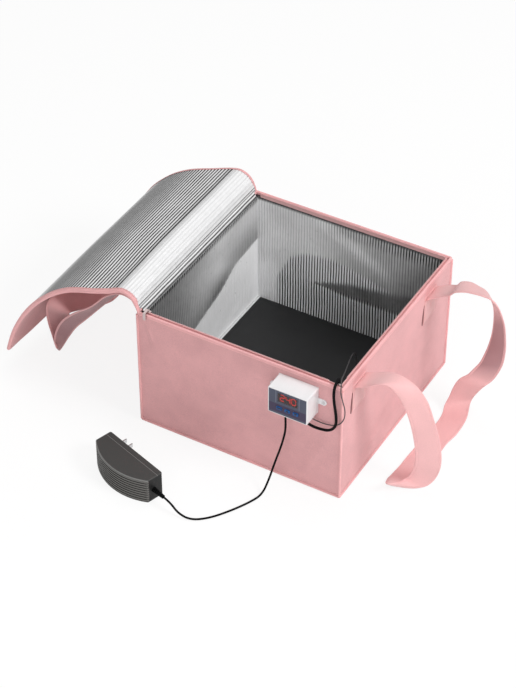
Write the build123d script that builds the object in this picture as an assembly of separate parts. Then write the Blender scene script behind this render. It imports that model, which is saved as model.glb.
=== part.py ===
from build123d import *
import math
import os

# Folding dough proofer: an insulated fabric box with a foil-lined lid that unrolls over it,
# a heating mat on its floor, a thermostat on its front wall and a wall adapter on a cord.
# Millimetres. The origin is the centre of the bottom face, +X runs to the right along the
# front wall, +Y to the back and +Z up. The lid is hinged along the left wall.

os.makedirs("parts", exist_ok=True)

# ---------------------------------------------------------------- driving dimensions
BOX_WIDTH = 320.0
BOX_DEPTH = 325.0
BOX_HEIGHT = 200.0
COVER_THICKNESS = 2.0
FOAM_THICKNESS = 6.0
FIT_CLEARANCE = 0.3

RIM_BEAD_WIDTH = 3.8
RIM_BEAD_HEIGHT = 6.0
RIM_BEAD_PROUD = 1.0
CORNER_BEAD_RADIUS = 1.9
BASE_BEAD_WIDTH = 3.5
BASE_BEAD_HEIGHT = 3.6
BASE_BEAD_PROUD = 1.5

ZIPPER_TAPE_THICKNESS = 1.0
ZIPPER_TAPE_HEIGHT = 5.0
ZIPPER_COIL_RADIUS = 1.2
ZIPPER_END_MARGIN = 22.0
STOP_LENGTH = 5.0
SLIDER_LENGTH = 10.0
SLIDER_WALL = 0.8
SLIDER_START = 8.0
PULL_REACH = 9.5
PULL_DROP = 12.0
PULL_WIDTH = 4.6
PULL_THICKNESS = 1.4
PULL_PIN_RADIUS = 0.6
PULL_EYE_RADIUS = 1.3
POST_THICKNESS = 0.8

LID_THICKNESS = 6.0
LID_COVER_THICKNESS = 1.5
LID_BINDING_WIDTH = 4.5
LID_SLACK_DEPTH = 0.3
LID_CLOSED_GAP = 8.5
LID_JOINT_GAP = 0.2
LID_WEB_THICKNESS = 1.4
LID_STRIP_LENGTHS = [26.0, 30.0, 90.0, 76.0, 95.0]
LID_STRIP_ANGLES = [136.0, 193.0, 205.0, 227.0, 247.0]

STRAP_WIDTH = 36.0
STRAP_THICKNESS = 2.0
STRAP_FLAP = 4.0
TAB_HEIGHT = 46.0
TAB_THICKNESS = 1.6
TAB_TOP_BELOW_RIM = 16.0
TAB_FRONT_INSET = 28.5
TAB_BACK_INSET = 48.5

MAT_THICKNESS = 3.0
MAT_MARGIN = 5.0
MAT_CORNER_RADIUS = 5.0
MAT_HEM = 6.0
FILM_THICKNESS = 0.8
BOOT_LENGTH = 26.0
BOOT_WIDTH = 16.0
BOOT_HEIGHT = 5.0

CASE_WIDTH = 60.0
CASE_DEPTH = 31.0
CASE_HEIGHT = 44.0
CASE_WALL = 2.0
CASE_RIGHT_INSET = 35.5
CASE_TOP_BELOW_RIM = 13.0
BACK_PLATE_THICKNESS = 2.0
EAR_REACH = 13.0
EAR_WIDTH = 9.0
EAR_HOLE_RADIUS = 1.6
SCREW_SHANK_RADIUS = 1.4
SCREW_HEAD_RADIUS = 2.2
SCREW_HEAD_HEIGHT = 1.2
SCREW_NUT_RADIUS = 3.5
SCREW_NUT_HEIGHT = 1.6
FACEPLATE_THICKNESS = 1.0
FACEPLATE_MARGIN = 1.6
WINDOW_WIDTH = 30.0
WINDOW_HEIGHT = 15.0
WINDOW_TOP_MARGIN = 5.5
WINDOW_THICKNESS = 1.2
DIGIT_HEIGHT = 10.0
DIGIT_WIDTH = 6.0
DIGIT_STROKE = 1.3
DIGIT_PITCH = 8.6
BUTTON_WIDTH = 8.0
BUTTON_HEIGHT = 5.0
BUTTON_PITCH = 12.5
BUTTON_BOTTOM_MARGIN = 12.5
BUTTON_PROUD = 0.8
BUTTON_DEPTH = 4.0
BUTTON_TRAVEL = 0.6
BUTTON_FLANGE = 0.8
BUTTON_STEM_RADIUS = 1.6
BOARD_POST_RADIUS = 2.0
BOARD_THICKNESS = 1.6
BOARD_MARGIN = 1.0
RELAY_SIZE = (15.0, 14.0, 18.0)
TERMINAL_SIZE = (30.0, 8.0, 9.0)
GLAND_HEIGHT = 2.5

ADAPTER_LENGTH = 112.0
ADAPTER_DEPTH = 46.0
ADAPTER_HEIGHT = 40.0
ADAPTER_END_DEPTH = 27.0
ADAPTER_WALL = 2.0
ADAPTER_PARTING = 9.0
ADAPTER_CORNER_RADIUS = 3.0
ADAPTER_POSITION = (-107.0, -258.0)
ADAPTER_TURN = -18.0
RIB_COUNT = 8
RIB_GROOVE_WIDTH = 1.7
RIB_GROOVE_DEPTH = 0.9
BLADE_SIZE = (1.5, 17.0, 6.3)
BLADE_PITCH = 12.7
BLADE_END_INSET = 12.0
RELIEF_LENGTH = 20.0
RELIEF_ROOT_RADIUS = 4.0
RELIEF_TIP_RADIUS = 2.8
RELIEF_HEIGHT = 18.0
RELIEF_DEPTH = 16.0

DC_CORD_DIAMETER = 3.0
MAT_CABLE_DIAMETER = 4.0
PROBE_LEAD_DIAMETER = 1.5
PROBE_TIP_RADIUS = 2.5
PROBE_TIP_LENGTH = 25.0
ARC_SHARE = 0.45

# ---------------------------------------------------------------- worked-out planes
RIGHT = BOX_WIDTH / 2
LEFT = -RIGHT
BACK = BOX_DEPTH / 2
FRONT = -BACK
FOAM_RIGHT = RIGHT - COVER_THICKNESS
FOAM_BACK = BACK - COVER_THICKNESS
CAVITY_RIGHT = FOAM_RIGHT - FOAM_THICKNESS
CAVITY_BACK = FOAM_BACK - FOAM_THICKNESS
FLOOR_TOP = COVER_THICKNESS + FOAM_THICKNESS
WALL_TOP = BOX_HEIGHT - RIM_BEAD_HEIGHT
MAT_TOP = FLOOR_TOP + MAT_THICKNESS


def save(name, shape):
    """Write one sub-part to its own file."""
    export_step(shape, f"parts/{name}.step")


def block(x0, x1, y0, y1, z0, z1):
    """A rectangular block between two corners."""
    centre = Pos((x0 + x1) / 2, (y0 + y1) / 2, (z0 + z1) / 2)
    return centre * Box(x1 - x0, y1 - y0, z1 - z0)


def rod_along_y(x, y0, y1, z, radius):
    """A round rod between two depths."""
    return Pos(x, (y0 + y1) / 2, z) * Rot(90, 0, 0) * Cylinder(radius, y1 - y0)


def ring_bar(half_x, half_y, width, z0, height, corner):
    """A bar of rounded section round a rectangle, by its outer half sizes."""
    outer = RectangleRounded(2 * half_x, 2 * half_y, corner)
    inner = Rectangle(2 * (half_x - width), 2 * (half_y - width))
    bar = Pos(0, 0, z0) * extrude(outer - inner, height)
    top_edges = bar.edges().group_by(Axis.Z)[-1]
    return fillet(top_edges, 0.3 * width)


# ---------------------------------------------------------------- wall covers and foam
CASE_RIGHT = RIGHT - CASE_RIGHT_INSET
CASE_LEFT = CASE_RIGHT - CASE_WIDTH
CASE_TOP = BOX_HEIGHT - CASE_TOP_BELOW_RIM
CASE_BOTTOM = CASE_TOP - CASE_HEIGHT
CASE_BACK = FRONT - FIT_CLEARANCE
CASE_FRONT = CASE_BACK - CASE_DEPTH
CASE_MIDDLE_X = (CASE_LEFT + CASE_RIGHT) / 2
CASE_MIDDLE_Z = (CASE_TOP + CASE_BOTTOM) / 2
EAR_HOLE_OFFSET = CASE_WIDTH / 2 + EAR_REACH - EAR_WIDTH / 2
EAR_HOLES_X = [CASE_MIDDLE_X - EAR_HOLE_OFFSET, CASE_MIDDLE_X + EAR_HOLE_OFFSET]


def screw_holes(y0, y1):
    """The two holes that the thermostat's screws pass through."""
    holes = [rod_along_y(x, y0, y1, CASE_MIDDLE_Z, EAR_HOLE_RADIUS) for x in EAR_HOLES_X]
    return holes[0] + holes[1]


def make_walls():
    """Five outer fabric panels and the five foil-faced foam panels inside them."""
    z0 = BASE_BEAD_HEIGHT
    foam_z0 = COVER_THICKNESS
    front_cover = block(-FOAM_RIGHT, FOAM_RIGHT, FRONT, -FOAM_BACK, z0, WALL_TOP)
    front_foam = block(-FOAM_RIGHT, FOAM_RIGHT, -FOAM_BACK, -CAVITY_BACK, foam_z0, WALL_TOP)
    save("front_cover", front_cover - screw_holes(FRONT - 1, -FOAM_BACK + 1))
    save("front_foam", front_foam - screw_holes(FRONT - 1, -CAVITY_BACK + 1))
    save("back_cover", block(-FOAM_RIGHT, FOAM_RIGHT, FOAM_BACK, BACK, z0, WALL_TOP))
    save("back_foam", block(-FOAM_RIGHT, FOAM_RIGHT, CAVITY_BACK, FOAM_BACK, foam_z0, WALL_TOP))
    save("left_cover", block(LEFT, -FOAM_RIGHT, -FOAM_BACK, FOAM_BACK, z0, WALL_TOP))
    save("left_foam", block(-FOAM_RIGHT, -CAVITY_RIGHT, -CAVITY_BACK, CAVITY_BACK, foam_z0, WALL_TOP))
    save("right_cover", block(FOAM_RIGHT, RIGHT, -FOAM_BACK, FOAM_BACK, z0, WALL_TOP))
    save("right_foam", block(CAVITY_RIGHT, FOAM_RIGHT, -CAVITY_BACK, CAVITY_BACK, foam_z0, WALL_TOP))
    inner_x = RIGHT + BASE_BEAD_PROUD - BASE_BEAD_WIDTH
    inner_y = BACK + BASE_BEAD_PROUD - BASE_BEAD_WIDTH
    save("base_cover", block(-inner_x, inner_x, -inner_y, inner_y, 0, COVER_THICKNESS))
    base_foam = block(-CAVITY_RIGHT, CAVITY_RIGHT, -CAVITY_BACK, CAVITY_BACK, foam_z0, FLOOR_TOP)
    save("base_foam", base_foam)


def make_piping():
    """The beads sewn along the rim, the base and the four upright corners."""
    rim = ring_bar(
        RIGHT + RIM_BEAD_PROUD,
        BACK + RIM_BEAD_PROUD,
        RIM_BEAD_WIDTH,
        WALL_TOP,
        RIM_BEAD_HEIGHT,
        3 * RIM_BEAD_PROUD,
    )
    save("rim_piping", rim)
    base = ring_bar(
        RIGHT + BASE_BEAD_PROUD,
        BACK + BASE_BEAD_PROUD,
        BASE_BEAD_WIDTH,
        0,
        BASE_BEAD_HEIGHT,
        2 * BASE_BEAD_PROUD,
    )
    save("base_piping", base)
    height = WALL_TOP - BASE_BEAD_HEIGHT
    middle = (WALL_TOP + BASE_BEAD_HEIGHT) / 2
    beads = []
    for x in (LEFT, RIGHT):
        for y in (FRONT, BACK):
            beads.append(Pos(x, y, middle) * Cylinder(CORNER_BEAD_RADIUS, height))
    save("corner_piping", Compound(children=beads))


# ---------------------------------------------------------------- zipper
BEAD_INNER_X = RIGHT + RIM_BEAD_PROUD - RIM_BEAD_WIDTH
BEAD_INNER_Y = BACK + RIM_BEAD_PROUD - RIM_BEAD_WIDTH
ZIPPER_X = (BEAD_INNER_X + CAVITY_RIGHT) / 2
ZIPPER_Y = (BEAD_INNER_Y + CAVITY_BACK) / 2
TAPE_TOP = WALL_TOP + ZIPPER_TAPE_HEIGHT
COIL_Z = TAPE_TOP + ZIPPER_COIL_RADIUS
COIL_TOP = COIL_Z + ZIPPER_COIL_RADIUS
ZIPPER_LEFT = LEFT + ZIPPER_END_MARGIN / 2
ZIPPER_FRONT_RIGHT = RIGHT - ZIPPER_END_MARGIN
ZIPPER_RIGHT_FRONT = FRONT + ZIPPER_END_MARGIN
HALF_TAPE = ZIPPER_TAPE_THICKNESS / 2
CHANNEL_HALF = ZIPPER_COIL_RADIUS + FIT_CLEARANCE
SLIDER_HALF = CHANNEL_HALF + SLIDER_WALL
SLIDER_TOP = COIL_TOP + FIT_CLEARANCE + SLIDER_WALL
SLIDER_BOTTOM = COIL_TOP - 3 * ZIPPER_COIL_RADIUS
SLIDER_X = ZIPPER_LEFT + SLIDER_START - SLIDER_LENGTH / 2
PULL_PIN_Z = SLIDER_TOP + PULL_EYE_RADIUS + FIT_CLEARANCE


def zipper_run_along_x(x0, x1, y):
    """Tape and coil of one straight zipper run along X."""
    tape = block(x0, x1, y - HALF_TAPE, y + HALF_TAPE, WALL_TOP, TAPE_TOP + HALF_TAPE)
    coil = Pos((x0 + x1) / 2, y, COIL_Z) * Rot(0, 90, 0) * Cylinder(ZIPPER_COIL_RADIUS, x1 - x0)
    return tape + coil


def zipper_run_along_y(x, y0, y1):
    """Tape and coil of one straight zipper run along Y."""
    tape = block(x - HALF_TAPE, x + HALF_TAPE, y0, y1, WALL_TOP, TAPE_TOP + HALF_TAPE)
    coil = rod_along_y(x, y0, y1, COIL_Z, ZIPPER_COIL_RADIUS)
    return tape + coil


def make_zipper():
    """The rim's half of the zipper on three sides, its end box, its slider and its pull."""
    front_run = zipper_run_along_x(ZIPPER_LEFT, ZIPPER_FRONT_RIGHT, -ZIPPER_Y)
    back_run = zipper_run_along_x(ZIPPER_LEFT, ZIPPER_X - ZIPPER_COIL_RADIUS, ZIPPER_Y)
    right_run = zipper_run_along_y(ZIPPER_X, ZIPPER_RIGHT_FRONT, ZIPPER_Y)
    save("rim_zipper", Compound(children=[front_run, back_run, right_run]))

    stop_x0 = CAVITY_RIGHT - STOP_LENGTH / 2
    stop = block(
        stop_x0,
        stop_x0 + STOP_LENGTH,
        -ZIPPER_Y - CHANNEL_HALF,
        -ZIPPER_Y + CHANNEL_HALF,
        WALL_TOP,
        COIL_Z,
    )
    save("zipper_stop", fillet(stop.edges().filter_by(Axis.Z), 0.8))

    body = Pos(0, 0, (SLIDER_TOP + SLIDER_BOTTOM) / 2) * Box(
        SLIDER_LENGTH, 2 * SLIDER_HALF, SLIDER_TOP - SLIDER_BOTTOM
    )
    body = fillet(body.edges().filter_by(Axis.Z), 1.0)
    channel_top = COIL_TOP + FIT_CLEARANCE
    channel = Pos(0, 0, (channel_top + SLIDER_BOTTOM) / 2) * Box(
        2 * SLIDER_LENGTH, 2 * CHANNEL_HALF, channel_top - SLIDER_BOTTOM
    )
    post_height = PULL_PIN_Z + PULL_PIN_RADIUS - SLIDER_TOP
    post = Box(POST_THICKNESS, 2 * PULL_EYE_RADIUS, post_height)
    posts = body - channel
    for side in (-1, 1):
        posts += Pos(side * PULL_WIDTH / 2, 0, SLIDER_TOP + post_height / 2) * post
    pin = Pos(0, 0, PULL_PIN_Z) * Rot(0, 90, 0) * Cylinder(PULL_PIN_RADIUS, PULL_WIDTH)
    save("zipper_slider", Pos(SLIDER_X, -ZIPPER_Y, 0) * (posts + pin))

    eye_hole = PULL_PIN_RADIUS + FIT_CLEARANCE / 3
    shank_width = PULL_WIDTH - POST_THICKNESS - 2 * FIT_CLEARANCE
    arm_z0 = PULL_PIN_Z - PULL_THICKNESS / 2
    arm_z1 = PULL_PIN_Z + PULL_THICKNESS / 2
    arm = block(-shank_width / 2, shank_width / 2, -PULL_REACH, 0, arm_z0, arm_z1)
    eye_place = Pos(0, 0, PULL_PIN_Z) * Rot(0, 90, 0)
    arm += eye_place * Cylinder(PULL_EYE_RADIUS, shank_width)
    arm -= eye_place * Cylinder(eye_hole, 2 * PULL_WIDTH)
    tab = block(
        -PULL_WIDTH / 2,
        PULL_WIDTH / 2,
        -PULL_REACH,
        -PULL_REACH + PULL_THICKNESS,
        arm_z1 - PULL_DROP,
        arm_z1,
    )
    tab = fillet(tab.edges().filter_by(Axis.Y), 1.2)
    save("zipper_pull", Pos(SLIDER_X, -ZIPPER_Y, 0) * (arm + tab))


# ---------------------------------------------------------------- lid
LID_AXIS_X = LEFT
LID_AXIS_Z = BOX_HEIGHT + LID_CLOSED_GAP


def lid_planes():
    """The plane of each lid strip: origin at its root on the fabric side, x along the strip."""
    first = math.radians(LID_STRIP_ANGLES[0])
    x = LID_AXIS_X - LID_THICKNESS * math.sin(first)
    z = LID_AXIS_Z + LID_THICKNESS * math.cos(first)
    planes = []
    for length, angle in zip(LID_STRIP_LENGTHS, LID_STRIP_ANGLES):
        along = math.radians(angle)
        c, s = math.cos(along), math.sin(along)
        planes.append(Plane(origin=(x, 0, z), x_dir=(c, 0, s), z_dir=(s, 0, -c)))
        x += length * c
        z += length * s
    return planes


def make_lid():
    """The lid in hinged strips, each a bound fabric cover and a foil-faced foam liner."""
    web_middle = LEFT - RIM_BEAD_PROUD + RIM_BEAD_WIDTH / 2
    web = block(
        web_middle - LID_WEB_THICKNESS / 2,
        web_middle + LID_WEB_THICKNESS / 2,
        FRONT + LID_BINDING_WIDTH,
        BACK - LID_BINDING_WIDTH,
        BOX_HEIGHT,
        LID_AXIS_Z - FIT_CLEARANCE,
    )
    save("lid_hinge_web", web)

    half = BACK
    inner = half - LID_BINDING_WIDTH
    last = len(LID_STRIP_LENGTHS) - 1
    for k, plane in enumerate(lid_planes()):
        x0 = LID_JOINT_GAP
        x1 = LID_STRIP_LENGTHS[k] - LID_JOINT_GAP
        cover = block(x0, x1, -half, half, 0, LID_THICKNESS)
        outer_edges = cover.edges().filter_by(Axis.X)
        cover = fillet(outer_edges, LID_COVER_THICKNESS)
        pocket_end = x1 - LID_BINDING_WIDTH if k == last else x1 + 1
        cover -= block(x0 - 1, pocket_end, -inner, inner, LID_COVER_THICKNESS, LID_THICKNESS + 1)
        liner_end = pocket_end if k == last else x1
        liner_top = LID_THICKNESS - LID_SLACK_DEPTH
        liner = block(x0, liner_end, -inner, inner, LID_COVER_THICKNESS, liner_top)
        save(f"lid_cover_{k + 1}", plane.location * cover)
        save(f"lid_liner_{k + 1}", plane.location * liner)
        axis = plane.origin
        print(f"lid strip {k + 1} root at x {axis.X:.3f} z {axis.Z:.3f}")


# ---------------------------------------------------------------- carrying straps
TAB_TOP = BOX_HEIGHT - TAB_TOP_BELOW_RIM
TAB_Y = [
    (FRONT + TAB_FRONT_INSET, FRONT + TAB_FRONT_INSET + STRAP_WIDTH),
    (BACK - TAB_BACK_INSET - STRAP_WIDTH, BACK - TAB_BACK_INSET),
]
STRAP_ROOT = RIGHT + TAB_THICKNESS + FIT_CLEARANCE + STRAP_THICKNESS / 2
STRAP_ROOT_Z = TAB_TOP - 1.5 * STRAP_THICKNESS

# Each strap in two runs, one from its front sewn end and one from its back sewn end. A row
# holds the near edge's distance out from the wall, its distance behind the sewn end's front
# edge, its height, and the direction that the band's width takes there.
RIGHT_STRAP_FRONT = [
    (18, 0, 189, (6, 35, 2)),
    (33, 1, 199, (13, 34, 0)),
    (45, 4, 202, (19, 30, -5)),
    (55, 9, 193, (25, 25, -5)),
    (64.1, 17.6, 170.5, (30, 20, -4)),
    (71.2, 24.2, 143, (31, 17, -6)),
    (77, 28.2, 115, (31, 17, -5)),
    (80.8, 33.2, 80, (32, 16, -3)),
    (80.8, 35.8, 52, (32, 16, -4)),
    (74, 38.2, 26.5, (34, 13, -2)),
    (66, 33.3, 15.7, (32, 14, -7)),
    (63.2, 18, 21.6, (21, 22, -19)),
    (59, 7, 26.6, (4, 25, -25)),
    (54.4, 5.8, 26.9, (-10, 23, -26)),
    (59.1, 11.9, 21.1, (-19, 24, -20)),
    (70.5, 30, 13.3, (-29, 17, -12)),
    (76.3, 63.8, 15.7, (-33, 4, -14)),
    (80.2, 102.9, 1.4, (-36, 2, 0)),
    (80.4, 140.2, 1.4, (-36, 2, 0)),
]
RIGHT_STRAP_BACK = [
    (83.9, -43.5, 1.4, (-36, -2, 0)),
    (81.7, -8.3, 1.6, (-36, -6, 0)),
    (74, 22.2, 9, (-27, -22, 10)),
    (92.7, 11.3, 48.4, (-35, -11, 10)),
    (107.4, 16.3, 68.4, (-34, -13, 7)),
    (119.9, 12.7, 101.9, (-33, -3, -8)),
    (123.7, 9.7, 132.1, (-30, 5, -15)),
    (123.5, 6.1, 157.8, (-26, 12, -18)),
    (120.7, 2.8, 184.8, (-22, 16, -21)),
    (112.7, -0.5, 209.3, (-16, 21, -23)),
    (102.6, -2.7, 222.8, (-11, 25, -23)),
    (88.8, -3.7, 225.4, (-9, 31, -16)),
    (74.2, -3, 223.7, (-7, 34, -13)),
    (59.9, -2.8, 220.7, (-6, 36, -9)),
    (45.3, -2.1, 213.6, (-5, 36, -7)),
    (38.3, -1, 205.3, (-5, 36, -8)),
    (27.3, -0.2, 198.2, (-5, 36, -6)),
]
LEFT_STRAP_FRONT = [
    (26, 3, 184, (-2, 36, 0)),
    (52, 9, 182, (-6, 35, -2)),
    (80, 12, 165, (-6, 34, -11)),
    (107.1, 11.8, 135.4, (0, 29, -19)),
    (141, 12.7, 107.9, (-6, 23, -25)),
    (162.6, 12.4, 83.2, (-9, 24, -23)),
    (172.8, 12.1, 60, (-5, 25, -24)),
    (176.7, 13.4, 41.3, (2, 24, -26)),
    (171.9, 11.1, 31.8, (12, 22, -26)),
    (177.9, 15.3, 33.9, (9, 25, -23)),
]
LEFT_STRAP_BACK = [
    (188.9, -188.3, 41.8, (-6, 31, -15)),
    (198.1, -182.4, 53.5, (-19, 29, -5)),
    (201.4, -180.7, 70.9, (-29, 19, -7)),
    (198.2, -181, 90.5, (-34, 8, -12)),
    (191.8, -171.7, 102.4, (-31, -1, -19)),
    (187.2, -144.6, 95.5, (-25, -3, -25)),
    (182.6, -112.4, 81.3, (-27, -7, -23)),
    (173.3, -80.9, 74.1, (-23, -6, -27)),
    (155.3, -81.4, 96.3, (-20, 14, -26)),
    (133.9, -79.7, 114.3, (-11, 30, -17)),
    (110, -73, 130, (2, 36, -2)),
    (74, -38, 150, (2, 36, 0)),
    (40, -13, 170, (1, 36, 0)),
]


def strap_stations(side, front_rows, back_rows):
    """The two edge points of a strap at each station, from its front end to its back end."""
    stations = []
    for rows, (y0, y1) in ((front_rows, TAB_Y[0]), (back_rows, TAB_Y[1])):
        run = []
        for out, behind, z, across in rows:
            near = Vector(side * (RIGHT + out), y0 + behind, z)
            width = Vector(side * across[0], across[1], across[2]).normalized() * STRAP_WIDTH
            run.append((near, near + width))
        flap = []
        for z in (STRAP_ROOT_Z - STRAP_FLAP, STRAP_ROOT_Z):
            flap.append((Vector(side * STRAP_ROOT, y0, z), Vector(side * STRAP_ROOT, y1, z)))
        stations += flap + run if rows is front_rows else run + flap[::-1]
    return stations


def ribbon(stations, thickness):
    """A closed band of even thickness through pairs of edge points."""
    near = [station[0] for station in stations]
    far = [station[1] for station in stations]
    middle = [(a + b) * 0.5 for a, b in zip(near, far)]
    sections = []
    for k in range(len(stations)):
        before = middle[max(k - 1, 0)]
        after = middle[min(k + 1, len(stations) - 1)]
        normal = (after - before).cross(far[k] - near[k]).normalized()
        half = normal * (thickness / 2)
        sections.append([near[k] - half, far[k] - half, far[k] + half, near[k] + half])
    faces = [Face(Wire.make_polygon(sections[0])), Face(Wire.make_polygon(sections[-1]))]
    for first, second in zip(sections, sections[1:]):
        for side in range(4):
            a, b = first[side], first[(side + 1) % 4]
            c, d = second[(side + 1) % 4], second[side]
            faces.append(Face(Wire.make_polygon([a, b, c])))
            faces.append(Face(Wire.make_polygon([a, c, d])))
    return Solid(Shell(faces))


def make_straps():
    """The two carrying straps, and the tabs that sew their ends to the side walls."""
    right = strap_stations(1, RIGHT_STRAP_FRONT, RIGHT_STRAP_BACK)
    left = strap_stations(-1, LEFT_STRAP_FRONT, LEFT_STRAP_BACK)
    save("right_handle", ribbon(right, STRAP_THICKNESS))
    save("left_handle", ribbon(left, STRAP_THICKNESS))
    for name, x0, x1 in (
        ("right_handle_tabs", RIGHT, RIGHT + TAB_THICKNESS),
        ("left_handle_tabs", LEFT - TAB_THICKNESS, LEFT),
    ):
        tabs = [block(x0, x1, y0, y1, TAB_TOP - TAB_HEIGHT, TAB_TOP) for y0, y1 in TAB_Y]
        save(name, Compound(children=tabs))


# ---------------------------------------------------------------- heating mat
MAT_RIGHT = CAVITY_RIGHT - MAT_MARGIN / 2
MAT_LEFT = -CAVITY_RIGHT + MAT_MARGIN
MAT_BACK = CAVITY_BACK - MAT_MARGIN / 4
BOOT_X = MAT_RIGHT - BOOT_WIDTH
BOOT_Y = -MAT_BACK + BOOT_LENGTH / 2 + MAT_HEM


def make_mat():
    """The mat's hemmed skin, the heating film under it and the boot its cable enters."""
    middle_x = (MAT_LEFT + MAT_RIGHT) / 2
    width = MAT_RIGHT - MAT_LEFT
    depth = 2 * MAT_BACK
    skin = extrude(RectangleRounded(width, depth, MAT_CORNER_RADIUS), MAT_THICKNESS)
    skin = chamfer(skin.edges().group_by(Axis.Z)[-1], MAT_THICKNESS / 4)
    pocket_height = FILM_THICKNESS + FIT_CLEARANCE / 2
    pocket = Pos(0, 0, pocket_height / 2) * Box(width - 2 * MAT_HEM, depth - 2 * MAT_HEM, pocket_height)
    save("heating_mat", Pos(middle_x, 0, FLOOR_TOP) * (skin - pocket))
    film_gap = 2 * MAT_HEM + 2 * FIT_CLEARANCE
    film = Pos(0, 0, FILM_THICKNESS / 2) * Box(width - film_gap, depth - film_gap, FILM_THICKNESS)
    slot = Box(2, depth - 5 * film_gap, 2 * FILM_THICKNESS)
    for k in range(-3, 4):
        film -= Pos(k * width / 8, 0, FILM_THICKNESS / 2) * slot
    save("heating_film", Pos(middle_x, 0, FLOOR_TOP) * film)
    boot = extrude(RectangleRounded(BOOT_WIDTH, BOOT_LENGTH, 3), BOOT_HEIGHT)
    boot = fillet(boot.edges().group_by(Axis.Z)[-1], 1.5)
    save("mat_cable_boot", Pos(BOOT_X, BOOT_Y, MAT_TOP) * boot)


# ---------------------------------------------------------------- thermostat
WINDOW_Z = CASE_TOP - WINDOW_TOP_MARGIN - WINDOW_HEIGHT / 2
BUTTON_Z = CASE_BOTTOM + BUTTON_BOTTOM_MARGIN
BUTTON_XS = [CASE_MIDDLE_X - BUTTON_PITCH, CASE_MIDDLE_X, CASE_MIDDLE_X + BUTTON_PITCH]
FLANGE_FRONT = CASE_FRONT + CASE_WALL + FACEPLATE_THICKNESS + FIT_CLEARANCE
STEM_BACK = FLANGE_FRONT + BUTTON_FLANGE + BUTTON_DEPTH
BOARD_FRONT = STEM_BACK + BUTTON_TRAVEL + FIT_CLEARANCE
BOARD_BACK = BOARD_FRONT + BOARD_THICKNESS
GLANDS = [
    (CASE_LEFT + 18.5, CASE_FRONT + 15.8, DC_CORD_DIAMETER),
    (CASE_RIGHT - 14.5, CASE_BACK - 12.2, MAT_CABLE_DIAMETER),
    (CASE_RIGHT - 8.0, CASE_BACK - 5.5, PROBE_LEAD_DIAMETER),
]
SEVEN_SEGMENTS = {"2": "abged", "4": "fgbc", "0": "abcdef"}


def digit(symbol):
    """A seven-segment figure in the XZ plane, one stroke deep."""
    h = DIGIT_HEIGHT / 2
    w = DIGIT_WIDTH / 2
    long_bar = Box(DIGIT_WIDTH - 1.1 * DIGIT_STROKE, DIGIT_STROKE / 2, DIGIT_STROKE)
    tall_bar = Box(DIGIT_STROKE, DIGIT_STROKE / 2, h - 1.1 * DIGIT_STROKE)
    places = {
        "a": Pos(0, 0, h) * long_bar,
        "b": Pos(w, 0, h / 2) * tall_bar,
        "c": Pos(w, 0, -h / 2) * tall_bar,
        "d": Pos(0, 0, -h) * long_bar,
        "e": Pos(-w, 0, -h / 2) * tall_bar,
        "f": Pos(-w, 0, h / 2) * tall_bar,
        "g": long_bar,
    }
    return [places[name] for name in SEVEN_SEGMENTS[symbol]]


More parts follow.
